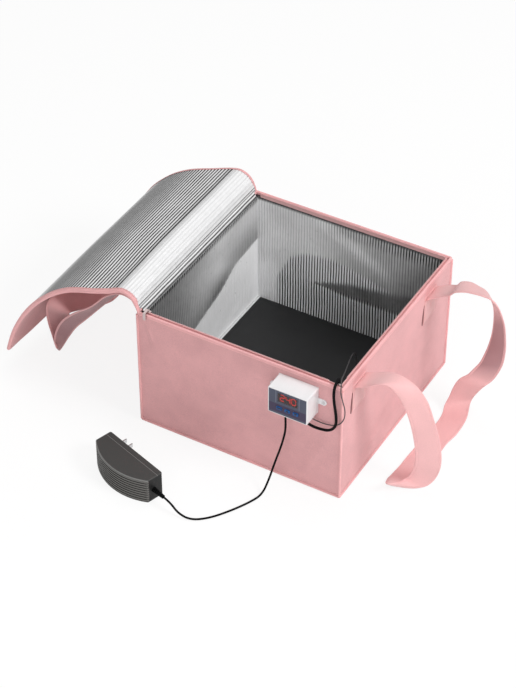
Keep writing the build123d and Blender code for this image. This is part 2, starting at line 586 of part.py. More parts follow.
def make_case():
    """The thermostat's moulded case, back plate with ears, face and display."""
    outer = block(CASE_LEFT, CASE_RIGHT, CASE_FRONT, CASE_BACK, CASE_BOTTOM, CASE_TOP)
    outer = fillet(outer.edges().filter_by(Axis.Y), 2.0)
    outer = fillet(outer.faces().sort_by(Axis.Y)[0].edges(), 1.0)
    inside = block(
        CASE_LEFT + CASE_WALL,
        CASE_RIGHT - CASE_WALL,
        CASE_FRONT + CASE_WALL + FACEPLATE_THICKNESS,
        CASE_BACK + 1,
        CASE_BOTTOM + CASE_WALL,
        CASE_TOP - CASE_WALL,
    )
    face_x0 = CASE_LEFT + FACEPLATE_MARGIN
    face_x1 = CASE_RIGHT - FACEPLATE_MARGIN
    face_z0 = CASE_BOTTOM + FACEPLATE_MARGIN
    face_z1 = CASE_TOP - FACEPLATE_MARGIN
    face_back = CASE_FRONT + FACEPLATE_THICKNESS
    recess = block(face_x0, face_x1, CASE_FRONT - 1, face_back, face_z0, face_z1)
    window_x0 = CASE_MIDDLE_X - WINDOW_WIDTH / 2
    window_x1 = CASE_MIDDLE_X + WINDOW_WIDTH / 2
    window_z0 = WINDOW_Z - WINDOW_HEIGHT / 2
    window_z1 = WINDOW_Z + WINDOW_HEIGHT / 2
    face_holes = block(window_x0, window_x1, CASE_FRONT - 1, face_back + 5, window_z0, window_z1)
    for x in BUTTON_XS:
        face_holes += block(
            x - BUTTON_WIDTH / 2 - FIT_CLEARANCE,
            x + BUTTON_WIDTH / 2 + FIT_CLEARANCE,
            CASE_FRONT - 1,
            face_back + 5,
            BUTTON_Z - BUTTON_HEIGHT / 2 - FIT_CLEARANCE,
            BUTTON_Z + BUTTON_HEIGHT / 2 + FIT_CLEARANCE,
        )
    case = outer - inside - recess - face_holes
    for x, y, diameter in GLANDS:
        case -= Pos(x, y, CASE_BOTTOM) * Cylinder(diameter, 4 * CASE_WALL)
    back_plane = CASE_BACK - BACK_PLATE_THICKNESS
    case -= block(CASE_LEFT - 1, CASE_RIGHT + 1, back_plane, CASE_BACK + 1, CASE_BOTTOM - 1, CASE_TOP + 1)
    save("controller_case", case)
    plate = block(face_x0, face_x1, CASE_FRONT, face_back, face_z0, face_z1)
    save("faceplate", plate - face_holes)
    window = block(window_x0, window_x1, CASE_FRONT, CASE_FRONT + WINDOW_THICKNESS, window_z0, window_z1)
    save("display_window", window)

    figures = []
    for k, symbol in enumerate("240"):
        x = CASE_MIDDLE_X + (k - 1) * DIGIT_PITCH
        y = CASE_FRONT + WINDOW_THICKNESS + DIGIT_STROKE / 4 + FIT_CLEARANCE / 3
        figures += [Pos(x, y, WINDOW_Z) * bar for bar in digit(symbol)]
    save("display_digits", Compound(children=figures))

    plate_height = (CASE_BOTTOM, CASE_TOP)
    back_plate = block(CASE_LEFT, CASE_RIGHT, back_plane, CASE_BACK, *plate_height)
    ear_x = EAR_HOLES_X
    back_plate += block(
        ear_x[0],
        ear_x[1],
        back_plane,
        CASE_BACK,
        CASE_MIDDLE_Z - EAR_WIDTH / 2,
        CASE_MIDDLE_Z + EAR_WIDTH / 2,
    )
    for x in ear_x:
        back_plate += rod_along_y(x, back_plane, CASE_BACK, CASE_MIDDLE_Z, EAR_WIDTH / 2)
    save("controller_back", back_plate - screw_holes(back_plane - 1, CASE_BACK + 1))


def make_controls():
    """The thermostat's three keys, circuit board, relay, terminals, glands and screws."""
    for name, x in zip(("set_button", "up_button", "down_button"), BUTTON_XS):
        front = CASE_FRONT - BUTTON_PROUD
        key = block(
            x - BUTTON_WIDTH / 2,
            x + BUTTON_WIDTH / 2,
            front,
            FLANGE_FRONT,
            BUTTON_Z - BUTTON_HEIGHT / 2,
            BUTTON_Z + BUTTON_HEIGHT / 2,
        )
        key = fillet(key.edges().filter_by(Axis.Y), 1.0)
        key += block(
            x - BUTTON_WIDTH / 2 - BUTTON_FLANGE,
            x + BUTTON_WIDTH / 2 + BUTTON_FLANGE,
            FLANGE_FRONT,
            FLANGE_FRONT + BUTTON_FLANGE,
            BUTTON_Z - BUTTON_HEIGHT / 2 - BUTTON_FLANGE,
            BUTTON_Z + BUTTON_HEIGHT / 2 + BUTTON_FLANGE,
        )
        key += rod_along_y(x, FLANGE_FRONT + BUTTON_FLANGE, STEM_BACK, BUTTON_Z, BUTTON_STEM_RADIUS)
        save(name, key)

    gap = CASE_WALL + BOARD_MARGIN
    board_x0 = CASE_LEFT + gap
    board_x1 = CASE_RIGHT - gap
    board = block(board_x0, board_x1, BOARD_FRONT, BOARD_BACK, CASE_BOTTOM + gap, CASE_TOP - gap)
    post_back = CASE_BACK - BACK_PLATE_THICKNESS
    post_inset = 1.5 * BOARD_POST_RADIUS
    for x in (board_x0 + post_inset, board_x1 - post_inset):
        board += rod_along_y(x, BOARD_BACK, post_back, CASE_TOP - gap - post_inset, BOARD_POST_RADIUS)
    save("controller_board", board)
    relay_w, relay_d, relay_h = RELAY_SIZE
    relay_x = board_x0 + 2 * post_inset + BOARD_MARGIN
    relay_top = CASE_TOP - gap - BOARD_MARGIN
    relay = block(
        relay_x,
        relay_x + relay_w,
        BOARD_BACK,
        BOARD_BACK + relay_d,
        relay_top - relay_h,
        relay_top,
    )
    save("relay", relay)
    term_w, term_d, term_h = TERMINAL_SIZE
    terminal_x = CASE_MIDDLE_X - term_w / 2
    terminal = block(
        terminal_x,
        terminal_x + term_w,
        BOARD_BACK,
        BOARD_BACK + term_d,
        CASE_BOTTOM + gap,
        CASE_BOTTOM + gap + term_h,
    )
    save("terminal_block", terminal)

    bushes = []
    for x, y, diameter in GLANDS:
        bottom = CASE_BOTTOM - GLAND_HEIGHT
        bush = Pos(x, y, CASE_BOTTOM - GLAND_HEIGHT / 2) * Cylinder(diameter + 1, GLAND_HEIGHT)
        bush += Pos(x, y, CASE_BOTTOM + CASE_WALL / 2) * Cylinder(diameter, CASE_WALL)
        bushes.append(fillet(bush.edges().sort_by(Axis.Z)[0], 0.6))
    save("cable_glands", Compound(children=bushes))

    screws = []
    for x in EAR_HOLES_X:
        head_back = CASE_BACK - BACK_PLATE_THICKNESS
        nut_front = -CAVITY_BACK
        head = rod_along_y(x, head_back - SCREW_HEAD_HEIGHT, head_back, CASE_MIDDLE_Z, SCREW_HEAD_RADIUS)
        shank = rod_along_y(x, head_back, nut_front, CASE_MIDDLE_Z, SCREW_SHANK_RADIUS)
        nut = rod_along_y(x, nut_front, nut_front + SCREW_NUT_HEIGHT, CASE_MIDDLE_Z, SCREW_NUT_RADIUS)
        screws.append(head + shank + nut)
    save("mounting_screws", Compound(children=screws))


# ---------------------------------------------------------------- wall adapter
ADAPTER_PLACE = Pos(ADAPTER_POSITION[0], ADAPTER_POSITION[1], 0) * Rot(0, 0, ADAPTER_TURN)


def adapter_outline(inset):
    """The adapter seen from above: straight plug face at y = 0, bowed face towards -Y."""
    half = ADAPTER_LENGTH / 2 - inset
    back = -inset
    end = -ADAPTER_END_DEPTH + inset / 3
    bow = -ADAPTER_DEPTH + inset
    lines = [
        Line((half, back), (-half, back)),
        Line((-half, back), (-half, end)),
        ThreePointArc((-half, end), (0, bow), (half, end)),
        Line((half, end), (half, back)),
    ]
    return make_face(Wire(lines))


def make_adapter():
    """The adapter's two shells, blades, strain relief, board and transformer."""
    plan = adapter_outline(0)
    solid = extrude(plan, ADAPTER_HEIGHT)
    upright = solid.edges().filter_by(Axis.Z)
    solid = fillet(upright, ADAPTER_CORNER_RADIUS)
    solid = fillet(solid.faces().sort_by(Axis.Z)[-1].edges(), 1.5)
    hollow = Pos(0, 0, ADAPTER_WALL) * extrude(
        adapter_outline(ADAPTER_WALL), ADAPTER_HEIGHT - 2 * ADAPTER_WALL
    )
    shell = solid - hollow
    far = 2 * ADAPTER_LENGTH
    front_half = block(-far, far, -far, -ADAPTER_PARTING, -1, ADAPTER_HEIGHT + 1)
    back_half = block(-far, far, -ADAPTER_PARTING, far, -1, ADAPTER_HEIGHT + 1)
    front_shell = shell & front_half
    groove_ring = adapter_outline(0) - adapter_outline(RIB_GROOVE_DEPTH)
    groove = extrude(groove_ring, RIB_GROOVE_WIDTH)
    bow_only = block(-far, far, -far, -ADAPTER_END_DEPTH - 1, -1, ADAPTER_HEIGHT)
    groove &= bow_only
    pitch = (ADAPTER_HEIGHT - 6) / RIB_COUNT
    for k in range(RIB_COUNT):
        front_shell -= Pos(0, 0, 3 + (k + 0.5) * pitch - RIB_GROOVE_WIDTH / 2) * groove
    relief_x = ADAPTER_LENGTH / 2
    relief_hole = Pos(relief_x, -RELIEF_DEPTH, RELIEF_HEIGHT) * Rot(0, 90, 0)
    front_shell -= relief_hole * Cylinder(RELIEF_TIP_RADIUS, 4 * ADAPTER_WALL)
    save("adapter_front_shell", ADAPTER_PLACE * front_shell)

    blade_w, blade_l, blade_h = BLADE_SIZE
    blades = []
    back_shell = shell & back_half
    for k in range(2):
        x = -ADAPTER_LENGTH / 2 + BLADE_END_INSET + k * BLADE_PITCH
        z0 = ADAPTER_HEIGHT / 2 - blade_h / 2
        blade = block(x, x + blade_w, -ADAPTER_WALL - 4, blade_l, z0, z0 + blade_h)
        back_shell -= blade
        blades.append(blade)
    save("adapter_back_shell", ADAPTER_PLACE * back_shell)
    save("plug_blades", ADAPTER_PLACE * Compound(children=blades))

    tip = Cone(RELIEF_ROOT_RADIUS, RELIEF_TIP_RADIUS, RELIEF_LENGTH)
    ring_pitch = RELIEF_LENGTH / 6
    for k in range(1, 6):
        z = -RELIEF_LENGTH / 2 + k * ring_pitch
        ring = Cylinder(2 * RELIEF_ROOT_RADIUS, ring_pitch / 2) - Cylinder(
            RELIEF_TIP_RADIUS - 0.4, ring_pitch / 2
        )
        tip -= Pos(0, 0, z) * ring
    relief = Pos(relief_x + RELIEF_LENGTH / 2, -RELIEF_DEPTH, RELIEF_HEIGHT) * Rot(0, 90, 0) * tip
    neck = Pos(relief_x - ADAPTER_WALL, -RELIEF_DEPTH, RELIEF_HEIGHT) * Rot(0, 90, 0)
    relief += neck * Cylinder(RELIEF_TIP_RADIUS, 2 * ADAPTER_WALL)
    save("adapter_strain_relief", ADAPTER_PLACE * relief)

    board_x = ADAPTER_LENGTH / 2 - ADAPTER_WALL - 4
    board_y0 = -ADAPTER_END_DEPTH + 2
    board_z0 = ADAPTER_WALL + FIT_CLEARANCE
    board = block(-board_x, board_x, board_y0, board_y0 + BOARD_THICKNESS, board_z0, ADAPTER_HEIGHT - 4)
    save("adapter_board", ADAPTER_PLACE * board)
    core_z = ADAPTER_HEIGHT / 2
    core_y = board_y0 + BOARD_THICKNESS
    core = block(-12, 14, core_y, core_y + 14, core_z - 10, core_z + 10)
    save("transformer", ADAPTER_PLACE * core)


# ---------------------------------------------------------------- cords
PROBE_REST_Z = MAT_TOP + PROBE_TIP_RADIUS + FIT_CLEARANCE / 2


def gland_exit(index, drop=0):
    """The point where a cable leaves the thermostat's underside, or a drop below it."""
    x, y, diameter = GLANDS[index]
    return (x, y, CASE_BOTTOM - GLAND_HEIGHT - drop)


def adapter_exit(ahead):
    """The end of the adapter's strain relief, or a point straight ahead of it."""
    turn = math.radians(ADAPTER_TURN)
    x = ADAPTER_LENGTH / 2 + RELIEF_LENGTH + ahead
    y = -RELIEF_DEPTH
    return (
        ADAPTER_POSITION[0] + x * math.cos(turn) - y * math.sin(turn),
        ADAPTER_POSITION[1] + x * math.sin(turn) + y * math.cos(turn),
        RELIEF_HEIGHT,
    )


DC_CORD_ROUTE = [
    gland_exit(0),
    gland_exit(0, 16),
    (84, -179, 104),
    (79, -181, 76),
    (71, -184, 45),
    (67, -193, 18),
    (66, -211, 1.8),
    (59, -232, 1.8),
    (45, -259, 1.8),
    (27, -286, 1.8),
    (7, -302, 1.8),
    (-12, -303.5, 6),
    adapter_exit(14),
    adapter_exit(0),
]
MAT_CABLE_ROUTE = [
    gland_exit(1),
    gland_exit(1, 9),
    (119, -172.5, 124),
    (133, -171.5, 123),
    (148, -171.5, 127),
    (156.5, -171.5, 140),
    (156, -171.5, 157),
    (153, -171.5, 174),
    (151.5, -172, 190),
    (151, -170, 202.5),
    (149.5, -160, 205.4),
    (147, -151, 205),
    (144, -145, 194),
    (142.5, -143.5, 176),
    (142, -143, 150),
    (142, -142, 118),
    (141, -141, 86),
    (138.5, -138.5, 58),
    (135, -135.5, 38),
    (BOOT_X, BOOT_Y, 26),
    (BOOT_X, BOOT_Y, MAT_TOP + BOOT_HEIGHT),
]
PROBE_LEAD_ROUTE = [
    gland_exit(2),
    gland_exit(2, 7),
    (124, -166.6, 130.5),
    (136, -166.4, 130),
    (149, -166.4, 132.5),
    (160, -166.4, 140),
    (166, -166.4, 153),
    (166.5, -166.4, 168),
    (162.5, -166.8, 182),
    (159.5, -167.5, 195),
    (158.8, -165.5, 204),
    (155, -158, 205.8),
    (150.5, -148, 203),
    (145, -130, 195),
    (136, -106, 184),
    (124, -74, 169),
    (111, -40, 149),
    (99, -8, 122),
    (90, 14, 88),
    (85, 30, 52),
    (80.5, 46, 24),
    (75, 66, PROBE_REST_Z),
    (70, 84, PROBE_REST_Z),
]
PROBE_TIP_DIRECTION = (Vector(*PROBE_LEAD_ROUTE[-1]) - Vector(*PROBE_LEAD_ROUTE[-2])).normalized()


def cord_tube(name, points, diameter):
    """A round tube of straight runs and tangent arcs, each as large as its runs allow."""
    places = [Vector(*point) for point in points]
    runs = [b - a for a, b in zip(places, places[1:])]
    radii = []
    for before, after in zip(runs, runs[1:]):
        turn = math.radians(before.get_angle(after))
        radii.append(ARC_SHARE * min(before.length, after.length) / math.tan(turn / 2))
    path = FilletPolyline(*places, radius=radii)
    section = Plane(origin=places[0], z_dir=runs[0]) * Circle(diameter / 2)
    tube = sweep(section, path=path)
    expected = math.pi * diameter**2 / 4 * path.length
    print(f"{name}: length {path.length:.1f} tightest radius {min(radii):.1f}", end=" ")
    print(f"volume {tube.volume:.1f} expected {expected:.1f}")
    print("  runs", [round(run.length) for run in runs], "radii", [round(r) for r in radii])
    save(name, tube)


def make_cords():
    """The adapter's cord, the mat's cable, and the probe lead with its metal tip."""
    cord_tube("dc_cord", DC_CORD_ROUTE, DC_CORD_DIAMETER)
    cord_tube("mat_cable", MAT_CABLE_ROUTE, MAT_CABLE_DIAMETER)
    cord_tube("probe_lead", PROBE_LEAD_ROUTE, PROBE_LEAD_DIAMETER)
    end = Vector(*PROBE_LEAD_ROUTE[-1])
    place = Plane(origin=end + PROBE_TIP_DIRECTION * (PROBE_TIP_LENGTH / 2), z_dir=PROBE_TIP_DIRECTION)
    save("probe_tip", place.location * Cylinder(PROBE_TIP_RADIUS, PROBE_TIP_LENGTH))


make_walls()
make_piping()
make_zipper()
make_lid()
make_straps()
make_mat()
make_case()
make_controls()
make_adapter()
make_cords()
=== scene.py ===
import math

import bmesh
import bpy
import numpy as np
from mathutils import Matrix, Vector, noise


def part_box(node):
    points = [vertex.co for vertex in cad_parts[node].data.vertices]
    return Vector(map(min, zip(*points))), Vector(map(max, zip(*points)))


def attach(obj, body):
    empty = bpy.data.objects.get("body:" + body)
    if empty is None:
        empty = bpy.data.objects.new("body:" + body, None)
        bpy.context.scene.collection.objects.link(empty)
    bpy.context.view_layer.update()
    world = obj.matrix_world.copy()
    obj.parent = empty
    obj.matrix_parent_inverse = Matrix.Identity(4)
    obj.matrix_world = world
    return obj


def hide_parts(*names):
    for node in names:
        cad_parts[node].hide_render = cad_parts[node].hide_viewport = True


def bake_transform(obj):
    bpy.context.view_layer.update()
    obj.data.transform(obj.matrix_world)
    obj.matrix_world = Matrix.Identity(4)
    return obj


# Folding dough proofer: soft covers, ribbed foil, straps, cords and finishes round the packed
# frame. Shapes are worked out in millimetres in the frame's axes and stored in metres.

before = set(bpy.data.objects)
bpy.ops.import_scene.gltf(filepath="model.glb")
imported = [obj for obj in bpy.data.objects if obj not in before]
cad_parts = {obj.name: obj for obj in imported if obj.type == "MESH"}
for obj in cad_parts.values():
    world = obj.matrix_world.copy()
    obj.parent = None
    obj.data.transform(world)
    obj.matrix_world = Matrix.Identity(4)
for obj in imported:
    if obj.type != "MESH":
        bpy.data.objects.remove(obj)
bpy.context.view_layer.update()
MM = 0.001

# ---------------------------------------------------------------- sizes shared with the frame
BOX_X = 160.0
BOX_Y = 162.5
COVER = 2.0
CAVITY_X = 152.0
CAVITY_Y = 154.5
FLOOR_TOP = 8.0
WALL_TOP = 194.0
BOX_TOP = 200.0
RIM_PROUD = 1.0
RIM_WIDTH = 3.8
BASE_PROUD = 1.5
BASE_WIDTH = 3.5
BASE_HEIGHT = 3.6
CORNER_BEAD_RADIUS = 1.9
ZIPPER_X = 154.6
ZIPPER_Y = 157.1
RIB_PITCH = 4.5
RIB_DEPTH = 0.7
LID_RIB_PITCH = 5.6
LID_THICKNESS = 6.0
LID_COVER = 1.5
LID_BINDING = 4.5
ADAPTER_PLACE = (-107.0, -258.0)
ADAPTER_TURN = math.radians(-18.0)
STRAP_WIDTH = 36.0
STRAP_ROOT = 162.9
STRAP_ROOT_Z = 181.0
STRAP_FLAP = 4.0
TAB_Y = [(-134.0, -98.0), (78.0, 114.0)]
TAB_Z = (138.0, 184.0)
CORNERS = ((1, -1), (1, 1), (-1, 1), (-1, -1))


# ---------------------------------------------------------------- camera, light and floor
CAMERA_LOCATION = (1.10056, -2.01086, 2.03602)
CAMERA_RIGHT = (0.8656, 0.5007, 0.0)
CAMERA_UP = (-0.3241, 0.5603, 0.7622)
CAMERA_LENS = 110.463
WORLD_FILL = 0.38
FLOOR_HALF = 14.0
FLOOR_Z = -0.0003
FLOOR_GLOW_SHARE = 0.86
MIDDLE = (0, 0, 0.1)


def add_object(name, data):
    """A new object in the scene."""
    obj = bpy.data.objects.new(name, data)
    bpy.context.scene.collection.objects.link(obj)
    return obj


def make_camera():
    """The camera at the photograph's viewing angle."""
    data = bpy.data.cameras.new("camera")
    data.lens = CAMERA_LENS
    data.sensor_width = 36.0
    data.clip_start = 0.05
    data.clip_end = 50.0
    camera = add_object("camera", data)
    right = Vector(CAMERA_RIGHT).normalized()
    up = Vector(CAMERA_UP).normalized()
    back = right.cross(up).normalized()
    up = back.cross(right)
    camera.matrix_world = Matrix([*zip(right, up, back, CAMERA_LOCATION), (0, 0, 0, 1)])
    bpy.context.scene.camera = camera
    bpy.context.scene.view_settings.view_transform = "Standard"


def add_lamp(name, location, target, size, power):
    """A square soft lamp, turned towards a point."""
    data = bpy.data.lights.new(name, "AREA")
    data.size = size
    data.energy = power
    lamp = add_object(name, data)
    lamp.location = location
    direction = Vector(target) - lamp.location
    lamp.rotation_euler = direction.to_track_quat("-Z", "Y").to_euler()


def set_inputs(tree, node, inputs):
    """Link an output to each of a node's inputs, or set its value."""
    for key, value in inputs.items():
        if isinstance(value, bpy.types.NodeSocket):
            tree.links.new(value, node.inputs[key])
        else:
            node.inputs[key].default_value = value


def add_node(tree, kind, inputs, output=0, **settings):
    """Add a node with its settings and inputs, and return one of its outputs."""
    node = tree.nodes.new("ShaderNode" + kind)
    for key, value in settings.items():
        setattr(node, key, value)
    set_inputs(tree, node, inputs)
    return node.outputs[output] if node.outputs else None


def seen_directly(tree):
    """1 for rays from the camera, mirrors and glass, 0 for rays that light the object."""
    camera, glossy, transmission = (
        add_node(tree, "LightPath", {}, f"Is {kind} Ray") for kind in ("Camera", "Glossy", "Transmission")
    )
    either = add_node(tree, "Math", {0: camera, 1: glossy}, operation="MAXIMUM")
    return add_node(tree, "Math", {0: either, 1: transmission}, operation="MAXIMUM")


def empty_tree(owner):
    """The owner's node tree, cleared."""
    owner.use_nodes = True
    owner.node_tree.nodes.clear()
    return owner.node_tree


def make_world():
    """White behind the object and in mirrors, and a soft grey fill on everything else."""
    world = bpy.data.worlds.new("studio")
    bpy.context.scene.world = world
    tree = empty_tree(world)
    fill = add_node(tree, "Background", {"Color": (1.0, 0.99, 0.98, 1), "Strength": WORLD_FILL})
    white = add_node(tree, "Background", {"Color": (1, 1, 1, 1), "Strength": 1.0})
    mix = add_node(tree, "MixShader", {0: seen_directly(tree), 1: fill, 2: white})
    add_node(tree, "OutputWorld", {"Surface": mix})


def make_floor():
    """A wide white floor that still takes the object's shadow."""
    mesh = bpy.data.meshes.new("floor")
    corners = [(FLOOR_HALF * sx, FLOOR_HALF * sy, FLOOR_Z) for sx, sy in CORNERS]
    mesh.from_pydata(corners, [], [(0, 1, 2, 3)])
    material = bpy.data.materials.new("floor_white")
    tree = empty_tree(material)
    matt = add_node(tree, "BsdfDiffuse", {"Color": (0.96, 0.96, 0.96, 1)})
    glow = add_node(tree, "Emission", {"Strength": 1.0})
    share = add_node(tree, "Math", {0: seen_directly(tree), 1: FLOOR_GLOW_SHARE}, operation="MULTIPLY")
    mix = add_node(tree, "MixShader", {0: share, 1: matt, 2: glow})
    add_node(tree, "OutputMaterial", {"Surface": mix})
    mesh.materials.append(material)
    add_object("floor", mesh)


make_camera()
make_world()
make_floor()
add_lamp("key", (2.3, -0.2, 2.1), MIDDLE, 0.9, 54)
add_lamp("front_fill", (0.4, -2.8, 1.6), MIDDLE, 1.6, 22)
add_lamp("low_fill", (1.5, -2.3, 0.95), (-0.1, 0, 0.1), 1.2, 5)
add_lamp("top", (-0.2, 0.5, 2.8), MIDDLE, 1.6, 22)


# ---------------------------------------------------------------- material kit
MATERIALS = {}


class Paint:
    """A material's node tree, with short calls that add a node and return its output."""

    def __init__(self, name):
        MATERIALS[name] = bpy.data.materials.new(name)
        MATERIALS[name].use_nodes = True
        self.tree = MATERIALS[name].node_tree

    def finish(self, **values):
        """Set the shader's own inputs, an underscore standing for a space."""
        shader = self.tree.nodes["Principled BSDF"]
        set_inputs(self.tree, shader, {key.replace("_", " "): value for key, value in values.items()})

    def add(self, kind, inputs, output=0, **settings):
        """One node's output."""
        return add_node(self.tree, kind, inputs, output, **settings)

    def math(self, operation, *values):
        """One arithmetic step."""
        return self.add("Math", dict(enumerate(values)), operation=operation)

    def plus(self, a, b):
        """The sum of two values."""
        return self.math("ADD", a, b)

    def times(self, a, b):
        """The product of two values."""
        return self.math("MULTIPLY", a, b)

    def from_place(self, value, place):
        """How far a value is from a place, to either side."""
        return self.math("ABSOLUTE", self.math("SUBTRACT", value, place))

    def weighted(self, *pairs):
        """The sum of values, each times its weight."""
        total = 0.0
        for value, weight in pairs:
            total = self.math("MULTIPLY_ADD", value, weight, total)
        return total

    def uv(self):
        """The mesh's own coordinates, in metres."""
        return self.add("UVMap", {})

    def place(self):
        """The position in the frame at rest, in metres."""
        return self.add("TexCoord", {}, "Object")

    def split(self, vector):
        """A vector's three parts."""
        return self.add("SeparateXYZ", {0: vector}).node.outputs

    def attribute(self, name):
        """A number stored on the mesh's points."""
        return self.add("Attribute", {}, "Fac", attribute_name=name)

    def noise(self, per_metre, detail=3.0, roughness=0.55, vector=None):
        """Smooth noise from 0 to 1, by place unless another vector is given."""
        inputs = {"Scale": per_metre, "Detail": detail, "Roughness": roughness}
        return self.add("TexNoise", {"Vector": vector or self.place()} | inputs, "Fac")

    def wave(self, value, pitch):
        """A cosine from 0 to 1 with the given pitch in metres."""
        cosine = self.math("COSINE", self.times(value, math.tau / pitch))
        return self.math("MULTIPLY_ADD", cosine, 0.5, 0.5)

    def weave(self, thread):
        """Crossed threads from 0 to 1."""
        u, v, _ = self.split(self.uv())
        return self.times(self.wave(u, thread), self.wave(v, thread))

    def ramp(self, value, low, high, to_low=0.0, to_high=1.0):
        """value mapped smoothly from one range to another."""
        inputs = {"Value": value, "From Min": low, "From Max": high}
        inputs |= {"To Min": to_low, "To Max": to_high}
        return self.add("MapRange", inputs, "Result", interpolation_type="SMOOTHSTEP")

    def mix(self, factor, a, b):
        """Two colours mixed."""
        a, b = (v if isinstance(v, bpy.types.NodeSocket) else (*v, 1) for v in (a, b))
        return self.add("Mix", {"Factor": factor, 6: a, 7: b}, 2, data_type="RGBA")

    def bump(self, height, distance, strength, **under):
        """A bump of the given depth in metres, on another's Normal if given."""
        inputs = {"Strength": strength, "Distance": distance, "Height": height}
        return self.add("Bump", inputs | under)


def cloth(name, colour, thread=0.0007, sheen=0.25, depth=0.00014, mottled=0.09, shaded=False):
    """A woven polyester cloth: crossed threads, slight mottling and a soft sheen."""
    paint = Paint(name)
    weave = paint.weave(thread)
    speckle = paint.noise(900, 2)
    clouds = paint.noise(22, 4)
    dark = [c * (1 - 2.2 * mottled) for c in colour]
    light = [min(1.0, c * (1 + mottled)) for c in colour]
    shade = paint.weighted((speckle, 0.55), (clouds, 0.45), (weave, 0.12))
    woven = paint.mix(paint.ramp(shade, 0.25, 0.8), dark, light)
    # Painted shade: the mesh's shade attribute darkens the colour towards deep, for faces that lie in
    # shadow.
    if shaded:
        deep = [c * share for c, share in zip(colour, SHADED_SHARE)]
        woven = paint.mix(paint.attribute("shade"), woven, deep)
    folds = paint.bump(clouds, 0.0012, 0.35)
    paint.finish(
        Base_Color=woven,
        Roughness=paint.ramp(speckle, 0.2, 0.8, 0.66, 0.82),
        Sheen_Weight=sheen,
        Sheen_Roughness=0.45,
        Sheen_Tint=(1.0, 0.90, 0.90, 1),
        Specular_IOR_Level=0.28,
        Normal=paint.bump(paint.plus(weave, speckle), depth, 0.7, Normal=folds),
    )


def foil(name, pitch, metallic=0.12, shine=0.35):
    """Ribbed metallised foil whose colour is a painted reflection: the mesh carries its brightness, tone,
    and its rib contrast, which paints the ribs as light and dark stripes.
    """
    paint = Paint(name)
    across = paint.split(paint.uv())[0]
    drift = paint.noise(26, 2, vector=paint.uv())
    rib = paint.wave(paint.weighted((across, 1.0), (drift, 0.0010)), pitch * MM)
    rib = paint.ramp(rib, 0.22, 0.78, -0.5, 0.5)
    fine = paint.ramp(paint.wave(across, pitch * MM / 3), 0.0, 1.0, -0.5, 0.5)
    crinkle = paint.noise(120, 4, 0.6)
    cloud = paint.ramp(crinkle, 0.25, 0.75, -0.5, 0.5)
    lines = (rib, paint.attribute("contrast"))
    tone = paint.weighted((paint.attribute("tone"), 1.0), lines, (cloud, 0.05), (fine, 0.03))
    tone = paint.math("MINIMUM", paint.math("MAXIMUM", tone, 0.012), 0.95)
    paint.finish(
        Base_Color=paint.mix(tone, (0, 0, 0), (0.97, 0.972, 0.98)),
        Metallic=metallic,
        Roughness=paint.ramp(crinkle, 0.2, 0.8, 0.26, 0.42),
        Specular_IOR_Level=shine,
        Normal=paint.bump(paint.weighted((crinkle, 1.0), (fine, 0.1)), 0.0003, 0.4),
    )


def plastic(name, colour, roughness=0.35, grain=2500, depth=0.00003, coat=0.0, shine=0.5):
    """Moulded plastic with a fine grain and slight unevenness of shade."""
    paint = Paint(name)
    broad = paint.noise(60, 3)
    paint.finish(
        Base_Color=paint.mix(broad, [c * 0.9 for c in colour], colour),
        Roughness=paint.ramp(broad, 0.2, 0.8, roughness * 0.85, roughness * 1.15),
        Coat_Weight=coat,
        Coat_Roughness=0.12,
        Specular_IOR_Level=shine,
        Normal=paint.bump(paint.noise(grain, 2), depth, 0.6),
    )


def metal(name, colour, roughness=0.28):
    """Plated or brushed metal with fine scratches along its length."""
    paint = Paint(name)
    brushed = paint.add("VectorMath", {0: paint.place(), 1: (60, 60, 1500)}, operation="MULTIPLY")
    scratch = paint.noise(1.0, 3, vector=brushed)
    paint.finish(
        Base_Color=paint.mix(paint.noise(300, 3), [c * 0.72 for c in colour], colour),
        Metallic=1.0,
        Roughness=paint.ramp(scratch, 0.2, 0.8, roughness * 0.7, roughness * 1.5),
        Normal=paint.bump(scratch, 0.00004, 0.5),
    )


def glow(name, colour, strength):
    """A lit display segment with a slightly uneven face."""
    paint = Paint(name)
    paint.finish(
        Base_Color=paint.mix(paint.noise(700, 2), [c * 0.8 for c in colour], colour),
        Roughness=0.4,
        Emission_Color=(*colour, 1),
        Emission_Strength=strength,
    )


# The adapter in its own axes, in metres: the arc of its bowed side, its ribs, and its top face
# with the seam along it.
BOW_CENTRE = 0.04603
BOW_RADIUS = 0.0902
ADAPTER_RIB_FOOT = 0.003
ADAPTER_RIB_PITCH = 0.00425
ADAPTER_TOP = 0.038
SEAM_ASIDE = -0.009
ADAPTER_DARK = (0.012, 0.012, 0.012)
ADAPTER_HIGHLIGHT = (0.17, 0.17, 0.165)


